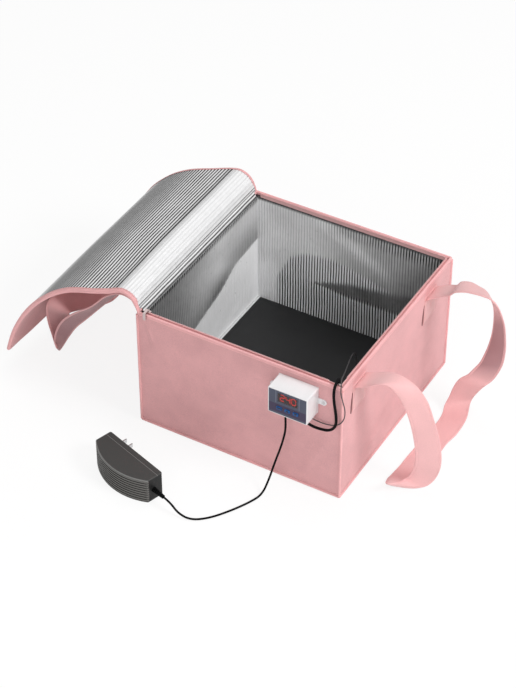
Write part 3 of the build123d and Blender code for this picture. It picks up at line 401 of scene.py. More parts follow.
def adapter_plastic():
    """Satin black with painted light: highlights on the bowed side's rib crests and along the bow's top
    edge, a seam along the top painted as a dark line with a highlight in it, the top face painted lighter
    than the side, and the side lighter towards one end.
    """
    paint = Paint("black_plastic")
    fine = paint.noise(1600, 2)
    x, y, z = paint.split(paint.place())
    x = paint.math("SUBTRACT", x, ADAPTER_PLACE[0] * MM)
    y = paint.math("SUBTRACT", y, ADAPTER_PLACE[1] * MM)
    c, s = math.cos(ADAPTER_TURN), math.sin(ADAPTER_TURN)
    along = paint.weighted((x, c), (y, s))
    aside = paint.weighted((y, c), (x, -s))
    from_centre = paint.math("SUBTRACT", aside, BOW_CENTRE)
    squares = paint.plus(paint.math("POWER", along, 2), paint.math("POWER", from_centre, 2))
    radius = paint.math("SQRT", squares)
    # Painted highlights on the crests of the bowed side's ribs.
    crest = paint.wave(paint.math("SUBTRACT", z, ADAPTER_RIB_FOOT), ADAPTER_RIB_PITCH)
    crest = paint.times(paint.ramp(crest, 0.45, 0.9), 0.75)
    # Painted light along the bowed side: darker towards one end, lighter towards the other.
    shade = paint.mix(paint.ramp(along, -0.05, 0.05), (0.012, 0.012, 0.011), (0.060, 0.058, 0.055))
    ribs = paint.mix(crest, shade, (0.17, 0.165, 0.155))
    side = paint.mix(paint.ramp(radius, BOW_RADIUS - 0.0004, BOW_RADIUS + 0.0004), ADAPTER_DARK, ribs)
    # Painted light: the top face is lighter than the side.
    top = paint.mix(fine, (0.044, 0.044, 0.043), (0.054, 0.054, 0.052))
    # The seam is painted as a dark line with a highlight down its middle, and a highlight is painted along
    # the bow's top edge.
    from_seam = paint.from_place(aside, SEAM_ASIDE)
    top = paint.mix(paint.ramp(from_seam, 0.0011, 0.0007), top, ADAPTER_DARK)
    top = paint.mix(paint.ramp(from_seam, 0.0006, 0.0003), top, ADAPTER_HIGHLIGHT)
    top = paint.mix(paint.ramp(radius, BOW_RADIUS, BOW_RADIUS + 0.001), top, ADAPTER_HIGHLIGHT)
    paint.finish(
        Base_Color=paint.mix(paint.ramp(z, ADAPTER_TOP, ADAPTER_TOP + 0.0012), side, top),
        Roughness=paint.ramp(fine, 0.2, 0.8, 0.40, 0.52),
        Specular_IOR_Level=0.2,
        Normal=paint.bump(fine, 0.00005, 0.6),
    )


# The thermostat's face, in metres in the frame: the band behind the keys and the frame lines.
KEY_BAND_Z = (0.1475, 0.1625)
FACE_LINES_X = (0.0768, 0.1122)
FACE_LINES_FOOT = 0.1635


def faceplate_finish():
    """The thermostat's slate face, with a darker band behind the keys and two fine frame lines."""
    paint = Paint("slate_face")
    x, _, z = paint.split(paint.place())
    fine = paint.noise(1800, 2)
    low, high = KEY_BAND_Z
    in_band = paint.times(paint.ramp(z, low, low + 0.0007), paint.ramp(z, high, high - 0.0007))
    slate = paint.mix(fine, (0.062, 0.070, 0.104), (0.082, 0.090, 0.130))
    colour = paint.mix(in_band, slate, (0.052, 0.040, 0.078))
    left, right = (paint.ramp(paint.from_place(x, line), 0.00045, 0.00025) for line in FACE_LINES_X)
    over = paint.ramp(z, FACE_LINES_FOOT, FACE_LINES_FOOT + 0.0005)
    lines = paint.times(paint.times(paint.plus(left, right), over), 0.7)
    paint.finish(
        Base_Color=paint.mix(lines, colour, (0.26, 0.28, 0.34)),
        Roughness=paint.ramp(fine, 0.2, 0.8, 0.48, 0.6),
        Specular_IOR_Level=0.25,
        Normal=paint.bump(fine, 0.00003, 0.5),
    )


def smoked_window():
    """The display's dark see-through window."""
    paint = Paint("display_black")
    haze = paint.noise(300, 2)
    paint.finish(
        Base_Color=paint.mix(haze, (0.085, 0.072, 0.078), (0.12, 0.105, 0.11)),
        Roughness=paint.ramp(haze, 0.2, 0.8, 0.03, 0.08),
        Transmission_Weight=0.92,
        IOR=1.45,
        Specular_IOR_Level=0.3,
    )


def mat_skin():
    """The heating mat's satin black coated cloth, creased lightly where it was folded."""
    paint = Paint("mat_skin")
    clouds = paint.noise(14, 3)
    shade = paint.weighted((paint.noise(700, 2), 0.4), (clouds, 0.6))
    folds = paint.bump(clouds, 0.004, 0.25)
    paint.finish(
        Base_Color=paint.mix(shade, (0.006, 0.006, 0.0065), (0.016, 0.016, 0.017)),
        Roughness=paint.ramp(clouds, 0.25, 0.75, 0.42, 0.58),
        Specular_IOR_Level=0.28,
        Normal=paint.bump(paint.weave(0.0012), 0.0001, 0.5, Normal=folds),
    )


PINK = (0.71, 0.374, 0.382)
BINDING_PINK = (0.83, 0.43, 0.435)
STRAP_PINK = (0.80, 0.455, 0.455)
TAPE_PINK = (0.80, 0.47, 0.47)
THREAD_PINK = (0.86, 0.50, 0.50)
SLIT_SHADE = (0.20, 0.085, 0.085)
# What is left of a cloth's red, green and blue where shade is painted darkest.
SHADED_SHARE = (0.42, 0.40, 0.43)

cloth("pink_fabric", PINK)
cloth("pink_binding", BINDING_PINK, thread=0.0005, sheen=0.35)
cloth("strap_fabric", STRAP_PINK, thread=0.0011, depth=0.0002, sheen=0.45, mottled=0.05, shaded=True)
cloth("zipper_fabric", TAPE_PINK, thread=0.0005, mottled=0.05)
cloth("slit_shade", SLIT_SHADE, thread=0.0005, mottled=0.03)
cloth("thread", THREAD_PINK, thread=0.0004, mottled=0.04)
foil("foil_foam", RIB_PITCH)
foil("foil_lid", LID_RIB_PITCH, metallic=0.04, shine=0.16)
mat_skin()
metal("zipper_metal", (0.66, 0.55, 0.54), 0.34)
metal("heating_film", (0.62, 0.42, 0.26), 0.45)
metal("steel", (0.72, 0.72, 0.73), 0.25)
metal("transformer_steel", (0.42, 0.42, 0.44), 0.45)
faceplate_finish()
smoked_window()
glow("display_red", (1.0, 0.02, 0.012), 5.5)
adapter_plastic()
plastic("white_plastic", (0.76, 0.755, 0.765), 0.34, coat=0.15)
plastic("key_slate", (0.003, 0.085, 0.30), 0.45, shine=0.3)
plastic("symbol_dark", (0.008, 0.008, 0.02), 0.5)
plastic("circuit_board", (0.02, 0.13, 0.05), 0.4)
plastic("relay_blue", (0.02, 0.09, 0.38), 0.35)
plastic("terminal_green", (0.03, 0.30, 0.12), 0.4)
plastic("probe_rubber", (0.045, 0.038, 0.040), 0.4, grain=1200, depth=0.00004)
plastic("black_rubber", (0.003, 0.003, 0.0033), 0.45, grain=1200, depth=0.00004, shine=0.06)


# ---------------------------------------------------------------- mesh kit
def smooth(t):
    """0 before 0, 1 after 1 and an even ease between."""
    t = np.clip(t, 0.0, 1.0)
    return t * t * (3 - 2 * t)


def towards(a, b, share):
    """a moved a share of the way to b."""
    return a + (b - a) * share


def bell(t):
    """1 at 0, easing to 0 on both sides."""
    return np.exp(-(t**2))


def grid(xs, ys):
    """Both coordinates over a grid, shaped (len(xs), len(ys))."""
    return np.meshgrid(xs, ys, indexing="ij")


def points_at(x, y, z):
    """Points from their coordinates, each a number or a grid."""
    return np.stack(np.broadcast_arrays(x, y, z), axis=-1)


def unit(vectors):
    """Vectors with their lengths made 1."""
    return vectors / np.linalg.norm(vectors, axis=-1, keepdims=True)


def fit(piece, slot, *nodes, body="box"):
    """Ride a piece on a body and hide the nodes of the frame that it replaces; its slot is not used."""
    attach(piece, body)
    if nodes:
        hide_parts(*nodes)
    return piece


def add_piece(name, points, faces, corners, material, sharp=38.0, layers=None):
    """A mesh piece from points in millimetres; corners holds each face corner's UV in metres."""
    mesh = bpy.data.meshes.new(name)
    mesh.from_pydata((np.asarray(points, float) * MM).tolist(), [], faces)
    layer = mesh.uv_layers.new(name="UVMap")
    layer.data.foreach_set("uv", np.asarray(corners, np.float32).ravel())
    for key, values in (layers or {}).items():
        stored = mesh.attributes.new(key, "FLOAT", "POINT")
        stored.data.foreach_set("value", np.asarray(values, np.float32).ravel())
    work = bmesh.new()
    work.from_mesh(mesh)
    bmesh.ops.recalc_face_normals(work, faces=work.faces)
    work.to_mesh(mesh)
    work.free()
    mesh.polygons.foreach_set("use_smooth", [True] * len(mesh.polygons))
    mesh.set_sharp_from_angle(angle=math.radians(sharp))
    mesh.materials.append(MATERIALS[material])
    return add_object(name, mesh)


def loft(name, rings, us, vs, material, loop=False, layers=None, sharp=38.0):
    """A closed skin through rings of points. us are the rings' UVs and vs the ring points'."""
    rings = np.asarray(rings, float)
    m, n = rings.shape[:2]
    us = np.asarray(us, float) * MM
    vs = np.asarray(vs, float) * MM
    faces = []
    corners = []
    for i in range(m if loop else m - 1):
        a = i * n
        b = ((i + 1) % m) * n
        for j in range(n):
            k = (j + 1) % n
            faces.append((a + j, b + j, b + k, a + k))
            corners += [(us[i], vs[j]), (us[i + 1], vs[j]), (us[i + 1], vs[j + 1]), (us[i], vs[j + 1])]
    if not loop:
        for i in (0, m - 1):
            for j in range(n // 2 - 1):
                quad = (i * n + j, i * n + j + 1, i * n + n - 2 - j, i * n + n - 1 - j)
                faces.append(quad)
                corners += [(us[i] + 0.001, vs[q - i * n]) for q in quad]
    flat = {key: np.asarray(values).reshape(-1) for key, values in (layers or {}).items()}
    return add_piece(name, rings.reshape(-1, 3), faces, corners, material, sharp, flat)


def slab(name, top, bottom, us, vs, material, layers=None, sharp=38.0):
    """A closed plate between two grids of points, both shaped (rows, columns, 3)."""
    rings = np.concatenate([top, bottom[:, ::-1]], axis=1)
    around = np.concatenate([vs, vs[::-1], vs[:1]])
    both = {}
    for key, values in (layers or {}).items():
        both[key] = np.concatenate([values, values[:, ::-1]], axis=1)
    return loft(name, rings, us, around, material, layers=both, sharp=sharp)


def arc_length(points):
    """The distance along a row of points, from its first."""
    steps = np.linalg.norm(np.diff(points, axis=0), axis=1)
    return np.concatenate([[0.0], np.cumsum(steps)])


def flowing(points, share=9):
    """A smooth line through points, by Catmull-Rom, in equal shares between them."""
    padded = np.vstack([2 * points[0] - points[1], points, 2 * points[-1] - points[-2]])
    line = []
    for k in range(1, len(padded) - 2):
        p0, p1, p2, p3 = padded[k - 1 : k + 3]
        slope, bend, twist = p2 - p0, 2 * p0 - 5 * p1 + 4 * p2 - p3, 3 * p1 - p0 - 3 * p2 + p3
        for t in np.arange(share) / share:
            line.append(p1 + 0.5 * t * (slope + t * (bend + t * twist)))
    line.append(padded[-2])
    return np.array(line)


def scatter(name, template, faces, places, material):
    """Copies of a small solid. places holds an origin and three axes for each copy."""
    template = np.asarray(template, float)
    points = []
    all_faces = []
    corners = []
    for origin, axes in places:
        start = len(points) * len(template)
        points.append(np.asarray(origin) + template @ np.asarray(axes))
        for face in faces:
            all_faces.append(tuple(start + v for v in face))
            corners += [(template[v][0] * MM, template[v][1] * MM) for v in face]
    return add_piece(name, np.concatenate(points), all_faces, corners, material, 60.0)


# A bead's sections: place along it and size, as shares of the whole.
BEAD_SECTIONS = ((-0.5, 0.35), (-0.36, 0.88), (0.0, 1.0), (0.36, 0.88), (0.5, 0.35))


def bead_template(length, width, height, sides=6):
    """A small rounded bar along its first axis, as used for a stitch or a zipper tooth."""
    points = []
    turns = [math.tau * k / sides for k in range(sides)]
    for x, share in BEAD_SECTIONS:
        half_width, half_height = share * width / 2, share * height / 2
        for turn in turns:
            points.append((x * length, half_width * math.cos(turn), half_height * math.sin(turn)))
    faces = []
    last = (len(BEAD_SECTIONS) - 1) * sides
    for ring in range(0, last, sides):
        for k in range(sides):
            a, b = ring + k, ring + (k + 1) % sides
            faces.append((a, b, b + sides, a + sides))
    faces.append(tuple(range(sides))[::-1])
    faces.append(tuple(range(last, last + sides)))
    return points, faces


STITCH_PITCH = 3.4
STITCH_LENGTH = 2.7
STITCH_WIDTH = 0.62


def sampled(rows, along, s):
    """The value of rows of vectors at distances along them."""
    return np.column_stack([np.interp(s, along, rows[:, c]) for c in range(3)])


def stitch_places(points, normals, pitch=STITCH_PITCH):
    """Origins and axes for stitches laid along a row of points on a surface."""
    along = arc_length(points)
    count = max(1, int(along[-1] / pitch))
    s = (np.arange(count) + 0.5) * along[-1] / count
    ahead = unit(sampled(points, along, s + 0.5) - sampled(points, along, s - 0.5))
    up = sampled(normals, along, s)
    up = unit(up - ahead * np.sum(up * ahead, axis=1, keepdims=True))
    return list(zip(sampled(points, along, s), np.stack([ahead, np.cross(up, ahead), up], axis=1)))


def add_stitches(name, rows):
    """Stitches along several rows, each a pair of points and normals."""
    template, faces = bead_template(STITCH_LENGTH, STITCH_WIDTH, STITCH_WIDTH)
    places = [place for row in rows for place in stitch_places(*row)]
    return scatter(name, template, faces, places, "thread")


def soft_noise(x, y, size, seed):
    """Smooth noise about 0, with features of the given size."""
    return noise.noise(Vector((x / size, y / size, seed * 7.31)))


def noise_grid(xs, ys, size, seed):
    """soft_noise over a grid, shaped (len(xs), len(ys))."""
    return np.array([[soft_noise(x, y, size, seed) for y in ys] for x in xs])


def spot(xs, ys, centre, radii, turn):
    """A soft spot over a grid: 1 at its centre and 0 outside its radii, turned in degrees."""
    grid_x, grid_y = grid(xs, ys)
    c, s = math.cos(math.radians(turn)), math.sin(math.radians(turn))
    dx, dy = grid_x - centre[0], grid_y - centre[1]
    along = (dx * c + dy * s) / radii[0]
    across = (-dx * s + dy * c) / radii[1]
    return np.exp(-1.5 * (along**2 + across**2))


# ---------------------------------------------------------------- cords
GLAND_Z = 140.5
BOOT = (133.5, -134.25)
BOOT_TOP = 16.0
PROBE_REST_Z = 13.65
# The end of the adapter's strain relief, in the adapter's own axes.
ADAPTER_EXIT = (76.0, -16.0, 18.0)


def adapter_exit(ahead):
    """The end of the adapter's strain relief, or a point straight ahead of it."""
    x, y, z = ADAPTER_EXIT
    x += ahead
    c, s = math.cos(ADAPTER_TURN), math.sin(ADAPTER_TURN)
    return (ADAPTER_PLACE[0] + x * c - y * s, ADAPTER_PLACE[1] + x * s + y * c, z)


# Each cord's route from the thermostat's gland, as the control points of a smooth curve.
DC_CORD_ROUTE = [
    (83.0, -178.0, GLAND_Z), (83.0, -178.0, GLAND_Z - 16), (84, -179, 104), (79, -181, 76),
    (71, -184, 45), (67, -193, 18), (66, -211, 1.8), (59, -232, 1.8), (45, -259, 1.8),
    (27, -286, 1.8), (7, -302, 1.8), (-12, -303.5, 6), adapter_exit(14), adapter_exit(0),
]
MAT_CABLE_ROUTE = [
    (110.0, -175.0, GLAND_Z), (110.0, -175.0, GLAND_Z - 9), (119, -172.5, 124), (133, -171.5, 123),
    (148, -171.5, 127), (156.5, -171.5, 140), (156, -171.5, 157), (153, -171.5, 174),
    (151.5, -172, 190), (151, -170, 202.5), (149.5, -160, 205.4), (147, -151, 205),
    (144, -145, 194), (142.5, -143.5, 176), (142, -143, 150), (142, -142, 118), (141, -141, 86),
    (138.5, -138.5, 58), (135, -135.5, 38), (*BOOT, 26), (*BOOT, BOOT_TOP),
]
PROBE_LEAD_ROUTE = [
    (116.5, -168.3, GLAND_Z), (116.5, -168.3, GLAND_Z - 7), (124, -166.6, 130.5),
    (136, -166.4, 130), (149, -166.4, 132.5), (160, -166.4, 140), (166, -166.4, 153),
    (166.5, -166.4, 168), (162.5, -166.8, 182), (159.5, -167.5, 195), (158.8, -165.5, 204),
    (155, -158, 205.8), (150.5, -148, 203), (145, -130, 195), (136, -106, 184), (124, -74, 169),
    (111, -40, 149), (99, -8, 122), (90, 14, 88), (85, 30, 52), (80.5, 46, 24),
    (75, 66, PROBE_REST_Z), (70, 84, PROBE_REST_Z),
]


def make_cord(name, route, diameter, finish="black_rubber"):
    """One cord along its route, in place of its CAD tube."""
    curve = bpy.data.curves.new(name + "_line", "CURVE")
    curve.dimensions = "3D"
    curve.bevel_depth = diameter / 2 * MM
    curve.bevel_resolution = 5
    curve.resolution_u = 10
    curve.use_fill_caps = True
    spline = curve.splines.new("NURBS")
    spline.points.add(len(route) - 1)
    for point, place in zip(spline.points, route):
        point.co = (place[0] * MM, place[1] * MM, place[2] * MM, 1.0)
    spline.order_u = 3
    spline.use_endpoint_u = True
    curve.materials.append(MATERIALS[finish])
    cord = fit(add_object(name + "_flex", curve), "black_rubber", name)


make_cord("dc_cord", DC_CORD_ROUTE, 3.0)
make_cord("mat_cable", MAT_CABLE_ROUTE, 4.0)
make_cord("probe_lead", PROBE_LEAD_ROUTE, 1.5, "probe_rubber")


# ---------------------------------------------------------------- walls
# Each wall: its outward direction, the direction along it, how far out it stands and its half
# length.
WALLS = {
    "front": ((0, -1), (1, 0), BOX_Y, BOX_X),
    "back": ((0, 1), (-1, 0), BOX_Y, BOX_X),
    "left": ((-1, 0), (0, -1), BOX_X, BOX_Y),
    "right": ((1, 0), (0, 1), BOX_X, BOX_Y),
}
# Dents and folds in each cover: centre along the wall and up, radii, turn in degrees, depth.
COVER_FORMS = {
    "front": [
        ((-70, 128), (34, 9), -12, -1.6), ((-66, 108), (30, 8), -8, 0.8),
        ((-148, 168), (26, 3.5), -72, -1.5), ((-141, 170), (24, 3.0), -68, 1.1),
        ((-20, 60), (70, 20), 6, -1.0), ((120, 60), (60, 9), 64, 1.0), ((95, 96), (46, 12), 10, -1.2),
        ((-110, 40), (60, 10), 35, -0.9),
    ],
    "right": [
        ((-115, 120), (44, 8), 78, -1.5), ((-98, 118), (40, 7), 82, 1.1),
        ((95, 122), (40, 8), 100, -1.3), ((10, 70), (80, 18), 8, -1.2), ((-60, 40), (70, 11), 32, 0.9),
        ((120, 45), (50, 9), -40, 0.9),
    ],
    "back": [
        ((-60, 90), (70, 16), 10, -1.3), ((70, 110), (60, 12), -16, 1.0), ((10, 50), (80, 12), 4, -0.9),
    ],
    "left": [
        ((-40, 100), (70, 14), 6, -1.4), ((80, 80), (50, 12), -24, 1.0), ((10, 160), (90, 9), 2, -1.0),
    ],
}
DEEPEST_DENT = -1.5
WALL_DEPTH = BOX_X - CAVITY_X


def wall_point(wall, along, out, z):
    """Points on a wall from its distance along, distance out and height."""
    outward, direction, _, _ = WALLS[wall]
    x = along * direction[0] + out * outward[0]
    y = along * direction[1] + out * outward[1]
    return points_at(x, y, z)


def edge_fade(xs, ys, reach):
    """1 inside a grid and 0 along its four edges."""
    near_x = np.minimum(xs - xs[0], xs[-1] - xs)
    near_y = np.minimum(ys - ys[0], ys[-1] - ys)
    return smooth(near_x / reach)[:, None] * smooth(near_y / reach)[None, :]


def cover_relief(wall, along, heights, seed):
    """How far a wall's cover stands out from its plane; no dent reaches the foam behind it."""
    relief = 1.5 * noise_grid(along, heights, 85.0, seed)
    relief += 0.6 * noise_grid(along, heights, 30.0, seed + 1)
    relief += 0.18 * noise_grid(along, heights, 9.0, seed + 2)
    for centre, radii, turn, depth in COVER_FORMS[wall]:
        relief += depth * spot(along, heights, centre, radii, turn)
    return np.maximum(relief * edge_fade(along, heights, 22.0), DEEPEST_DENT)


def make_cover(wall, seed):
    """One outer panel of cloth with its soft dents."""
    _, _, out, half = WALLS[wall]
    along = np.linspace(1.0 - half, half - 1.0, 161)
    heights = np.linspace(2.4, WALL_TOP + 1.0, 97)
    relief = cover_relief(wall, along, heights, seed)
    grid_a, grid_z = grid(along, heights)
    outer = wall_point(wall, grid_a, out + relief, grid_z)
    inner = wall_point(wall, grid_a, out + relief - COVER, grid_z)
    piece = slab(wall + "_cover_cloth", outer, inner, along, heights, "pink_fabric")
    fit(piece, "pink_fabric", wall + "_cover")


# The foil walls' shades stand for what their creased metal face mirrors. Places are the
# distance along the frame's own axis, x or y, and the height. On the back wall an arch of
# stripes stands round a smooth lens, which has a middle line and a half height.
ARCH_X = [-154, -125, -121, -97, -78, -65, -30, -5, 30, 60, 90, 120, 152]
ARCH_Z = [20, 40, 57, 106, 118, 123, 127, 124, 117, 108, 100, 96, 92]
LENS_X = [-60, -54, 0, 60, 110, 152]
LENS_Z = [71, 72, 79, 83, 87, 93]
LENS_HALF = [0.1, 1, 9, 12, 16, 22]
# On the left wall the shade changes over a slanting line.
SHADE_Y = [-154, -27, 47, 87, 154]
SHADE_Z = [45, 74, 92, 111, 118]


def back_shades(x, z):
    """Brightness and rib contrast on the back wall: an arch of stripes round a smooth lens."""
    upper = np.interp(x, [-150, -60, 40, 150], [0.44, 0.42, 0.25, 0.16])
    under = smooth((np.interp(x, ARCH_X, ARCH_Z) - z) / 9.0 + 0.3)
    lens_z = np.interp(x, LENS_X, LENS_Z)
    lens = smooth(1.9 - np.abs(z - lens_z) / np.interp(x, LENS_X, LENS_HALF)) * smooth((x + 62) / 10.0)
    low = smooth((lens_z - z) / 12.0 + 0.2) * smooth((x + 118) / 20.0)
    corner = smooth((-112 - x) / 14.0) * smooth((95 - z) / 40.0)
    tone = towards(towards(upper, 0.30, under), 0.17, low)
    tone = towards(towards(tone, 0.105, lens), 0.58, corner)
    lines = towards(0.10 + 0.42 * under, 1.15, low) * (1 - 0.95 * lens)
    lines = towards(lines, 0.16, corner) + 0.35 * bell((x + 100) / 16.0) * bell((z - 44) / 22.0)
    streak = bell((z - 184 + 0.48 * (x + 40)) / 13.0) * smooth((x + 70) / 40) * smooth((90 - x) / 60)
    top = smooth((z - 168) / 14.0) * smooth((x + 50) / 50.0)
    return tone + 0.13 * streak - 0.06 * top, lines + 0.14 * streak + 0.16 * top


def left_shades(y, z):
    """Brightness and rib contrast on the left wall: darker over a slanting line, paler under it."""
    line = np.interp(y, SHADE_Y, SHADE_Z)
    under = smooth((line - z) / 7.0 + 0.4)
    front = 0.13 + 0.06 * smooth((y + 120) / 120.0)
    over = front + 0.20 * smooth((z - line) / 60.0) * smooth((y + 70) / 130.0)
    patch = bell((y - 96) / 38.0) * bell((z - 44) / 26.0)
    sheen = bell((y - 62) / 40.0) * bell((z - 128 + 0.35 * (y - 62)) / 16.0)
    blotch = bell((y - 34) / 30.0) * bell((z - 96 - 0.5 * (y - 34)) / 13.0)
    top = smooth((z - 186) / 6.0)
    tone = towards(over, 0.86, under) + 0.16 * patch + 0.07 * sheen - 0.06 * blotch
    return tone * (1 - 0.7 * top), 0.05 + 0.24 * under + 0.22 * top


def plain_shades(along, z):
    """Brightness and rib contrast on a wall that the photograph doesn't show."""
    tone = 0.34 + 0.10 * np.cos(along / 38.0) * np.sin(z / 27.0)
    return tone, 0.22 + 0.18 * smooth((80 - z) / 50.0)


FOIL_SHADES = {"back": back_shades, "left": left_shades, "front": plain_shades, "right": plain_shades}
FOIL_LIFT = 1.75


def rib_columns(half):
    """Positions along a ribbed sheet, eight to a rib."""
    count = int(2 * half / RIB_PITCH * 8)
    return np.linspace(-half, half, count + 1)


def rib_height(along, pitch=RIB_PITCH):
    """The ribs' height above their grooves."""
    return RIB_DEPTH * (0.5 + 0.5 * np.cos(math.tau * along / pitch))


def foam_face(along, heights, seed):
    """How far a foam board's face swells."""
    relief = 1.6 * noise_grid(along, heights, 70.0, seed) + 0.5 * noise_grid(along, heights, 24.0, seed + 1)
    return relief * edge_fade(along, heights, 30.0)


def make_foam(wall, seed):
    """One foam board with its ribbed foil face, inside a cover."""
    _, direction, out, half = WALLS[wall]
    along = rib_columns(half - COVER if wall in ("front", "back") else CAVITY_Y)
    heights = np.concatenate([[COVER], np.linspace(FLOOR_TOP, WALL_TOP - 0.6, 44), [WALL_TOP]])
    grid_a, grid_z = grid(along, heights)
    face = out - WALL_DEPTH - foam_face(along, heights, seed) - rib_height(grid_a) + RIB_DEPTH
    face[:, -1] += 0.8
    tone, contrast = FOIL_SHADES[wall](grid_a * sum(direction), grid_z)
    tone = FOIL_LIFT * (tone + 0.04 * noise_grid(along, heights, 46.0, seed + 3))
    contrast = FOIL_LIFT * np.clip(contrast, 0.0, 1.3)
    # Painted shade: the foam's top face under the rim is painted near black on all but the left wall.
    if wall != "left":
        tone[:, -2:] = 0.03
        contrast[:, -2:] = 0.0
    front = wall_point(wall, grid_a, face, grid_z)
    back = wall_point(wall, grid_a, out - COVER - 0.1, grid_z)
    layers = {"tone": tone, "contrast": contrast}
    piece = slab(wall + "_foil_foam", front, back, along, heights, "foil_foam", layers, sharp=60.0)
    fit(piece, "foil_foam", wall + "_foam")


for seed, wall in enumerate(WALLS):
    make_cover(wall, 10 * seed + 1)
    make_foam(wall, 10 * seed + 5)


def make_base_cloth():
    """The bottom cloth, sagging a little between its seams."""
    xs = np.linspace(1.5 - BOX_X, BOX_X - 1.5, 81)
    ys = np.linspace(1.5 - BOX_Y, BOX_Y - 1.5, 81)
    sag = 0.5 * np.abs(noise_grid(xs, ys, 50.0, 91)) * edge_fade(xs, ys, 20.0)
    low, high = (points_at(*grid(xs, ys), z) for z in (sag, COVER))
    fit(slab("base_cover_cloth", high, low, xs, ys, "pink_fabric"), "pink_fabric", "base_cover")


def make_base_foam():
    """The ribbed foil on the floor."""
    xs = rib_columns(CAVITY_X)
    ys = np.linspace(-CAVITY_Y, CAVITY_Y, 31)
    grid_x, grid_y = grid(xs, ys)
    top = FLOOR_TOP - RIB_DEPTH + rib_height(grid_x)
    high, low = (points_at(grid_x, grid_y, z) for z in (top, COVER + 0.1))
    layers = {"tone": np.full_like(top, 0.72), "contrast": np.full_like(top, 0.25)}
    piece = slab("base_foil_foam", high, low, xs, ys, "foil_foam", layers, sharp=60.0)
    fit(piece, "foil_foam", "base_foam")


make_base_cloth()
make_base_foam()


# ---------------------------------------------------------------- piping
def ring_path(half_x, half_y, corner, step=4.0):
    """Points round a rounded rectangle, and the outward direction at each."""
    points = []
    outwards = []
    inner = np.array([half_x - corner, half_y - corner])
    for k, signs in enumerate(CORNERS):
        for t in np.linspace(0, 1, 7):
            turn = math.radians(-90 + 90 * k) + t * math.pi / 2
            outwards.append(np.array([math.cos(turn), math.sin(turn)]))
            points.append(inner * signs + corner * outwards[-1])
        start = points[-1]
        end = inner * CORNERS[(k + 1) % 4] + corner * outwards[-1]
        count = int(np.linalg.norm(end - start) / step)
        for t in np.linspace(0, 1, count + 1)[1:-1]:
            points.append(start + t * (end - start))
            outwards.append(outwards[-1])
    return np.array(points), np.array(outwards)


def bead_section(width, height, power=2.6, count=20):
    """A rounded section, as offsets inwards from its outer face and up from its foot."""
    turns = np.arange(count) * math.tau / count
    c, s = np.cos(turns), np.sin(turns)
    across = width / 2 * (1 - np.sign(c) * np.abs(c) ** (2 / power))
    up = height / 2 * (1 + np.sign(s) * np.abs(s) ** (2 / power))
    return across, up


RING_CORNER = 3.0


def make_ring(name, node, half_x, half_y, width, z0, height, seed):
    """A bound bead sewn round the box."""
    points, outwards = ring_path(half_x, half_y, RING_CORNER)
    across, up = bead_section(width, height)
    wander = np.array([[0.25 * soft_noise(*point, 30.0, seed)] for point in points])
    x, y = (points[:, [k]] - outwards[:, [k]] * (across + np.abs(wander)) for k in (0, 1))
    rings = points_at(x, y, z0 + up + 0.5 * wander * (up / height))
    along = np.append(arc_length(points), 0)
    along[-1] = along[-2] + np.linalg.norm(points[0] - points[-1])
    around = np.linspace(0, 2 * (width + height), len(across) + 1)
    fit(loft(name, rings, along, around, "pink_binding", loop=True), "pink_fabric", node)


def ring_stitches(name, half_x, half_y, corner, z):
    """A row of stitches round the box."""
    points, outwards = ring_path(half_x, half_y, corner)
    points, outwards = (np.vstack([rows, rows[:1]]) for rows in (points, outwards))
    line = np.column_stack([points, np.full(len(points), z)])
    normals = np.column_stack([outwards, np.zeros(len(outwards))])
    fit(add_stitches(name, [(line, normals)]), "pink_fabric")


RIM_HALF = (BOX_X + RIM_PROUD, BOX_Y + RIM_PROUD)
BASE_HALF = (BOX_X + BASE_PROUD, BOX_Y + BASE_PROUD)
make_ring("rim_binding", "rim_piping", *RIM_HALF, RIM_WIDTH, WALL_TOP, BOX_TOP - WALL_TOP, 31)
make_ring("base_binding", "base_piping", *BASE_HALF, BASE_WIDTH, 0.0, BASE_HEIGHT, 33)
ring_stitches("rim_stitches", *RIM_HALF, RING_CORNER, WALL_TOP + 1.6)
ring_stitches("base_stitches", BOX_X + 0.35, BOX_Y + 0.35, 2.0, BASE_HEIGHT + 2.2)


def make_corner_beads():
    """The four upright seams, each a bound bead with a slight wander."""
    heights = np.linspace(BASE_HEIGHT - 0.6, WALL_TOP + 0.8, 49)
    turns = np.arange(16) * math.tau / 16
    around = np.linspace(0, math.tau * CORNER_BEAD_RADIUS, 17)
    for k, (sx, sy) in enumerate(CORNERS):
        radius = CORNER_BEAD_RADIUS * (1 + 0.06 * noise_grid(heights, [k * 9.0], 14.0, 41))
        x, y = sx * BOX_X + radius * np.cos(turns), sy * BOX_Y + radius * np.sin(turns)
        rings = points_at(x, y, heights[:, None])
        piece = loft(f"corner_binding_{k + 1}", rings, heights, around, "pink_binding")
        fit(piece, "pink_fabric", *([] if k else ["corner_piping"]))


make_corner_beads()


# ---------------------------------------------------------------- zipper
# The rim zipper's straight runs: start, end, inward direction, and the lengths of tape that
# are bare of teeth at its two ends.
ZIPPER_RUNS = [
    ((-149.0, -ZIPPER_Y), (153.4, -ZIPPER_Y), (0, 1), (0.0, 15.4)),
    ((ZIPPER_X, -156.0), (ZIPPER_X, ZIPPER_Y), (-1, 0), (15.5, 0.0)),
    ((-149.0, ZIPPER_Y), (ZIPPER_X - 1.2, ZIPPER_Y), (0, -1), (0.0, 0.0)),
]
TAPE_TOP = 199.6
TOOTH_PITCH = 1.7
TOOTH_Z = 200.2
GUSSET_Z = 197.4
GUSSET_WIDTH = 3.4


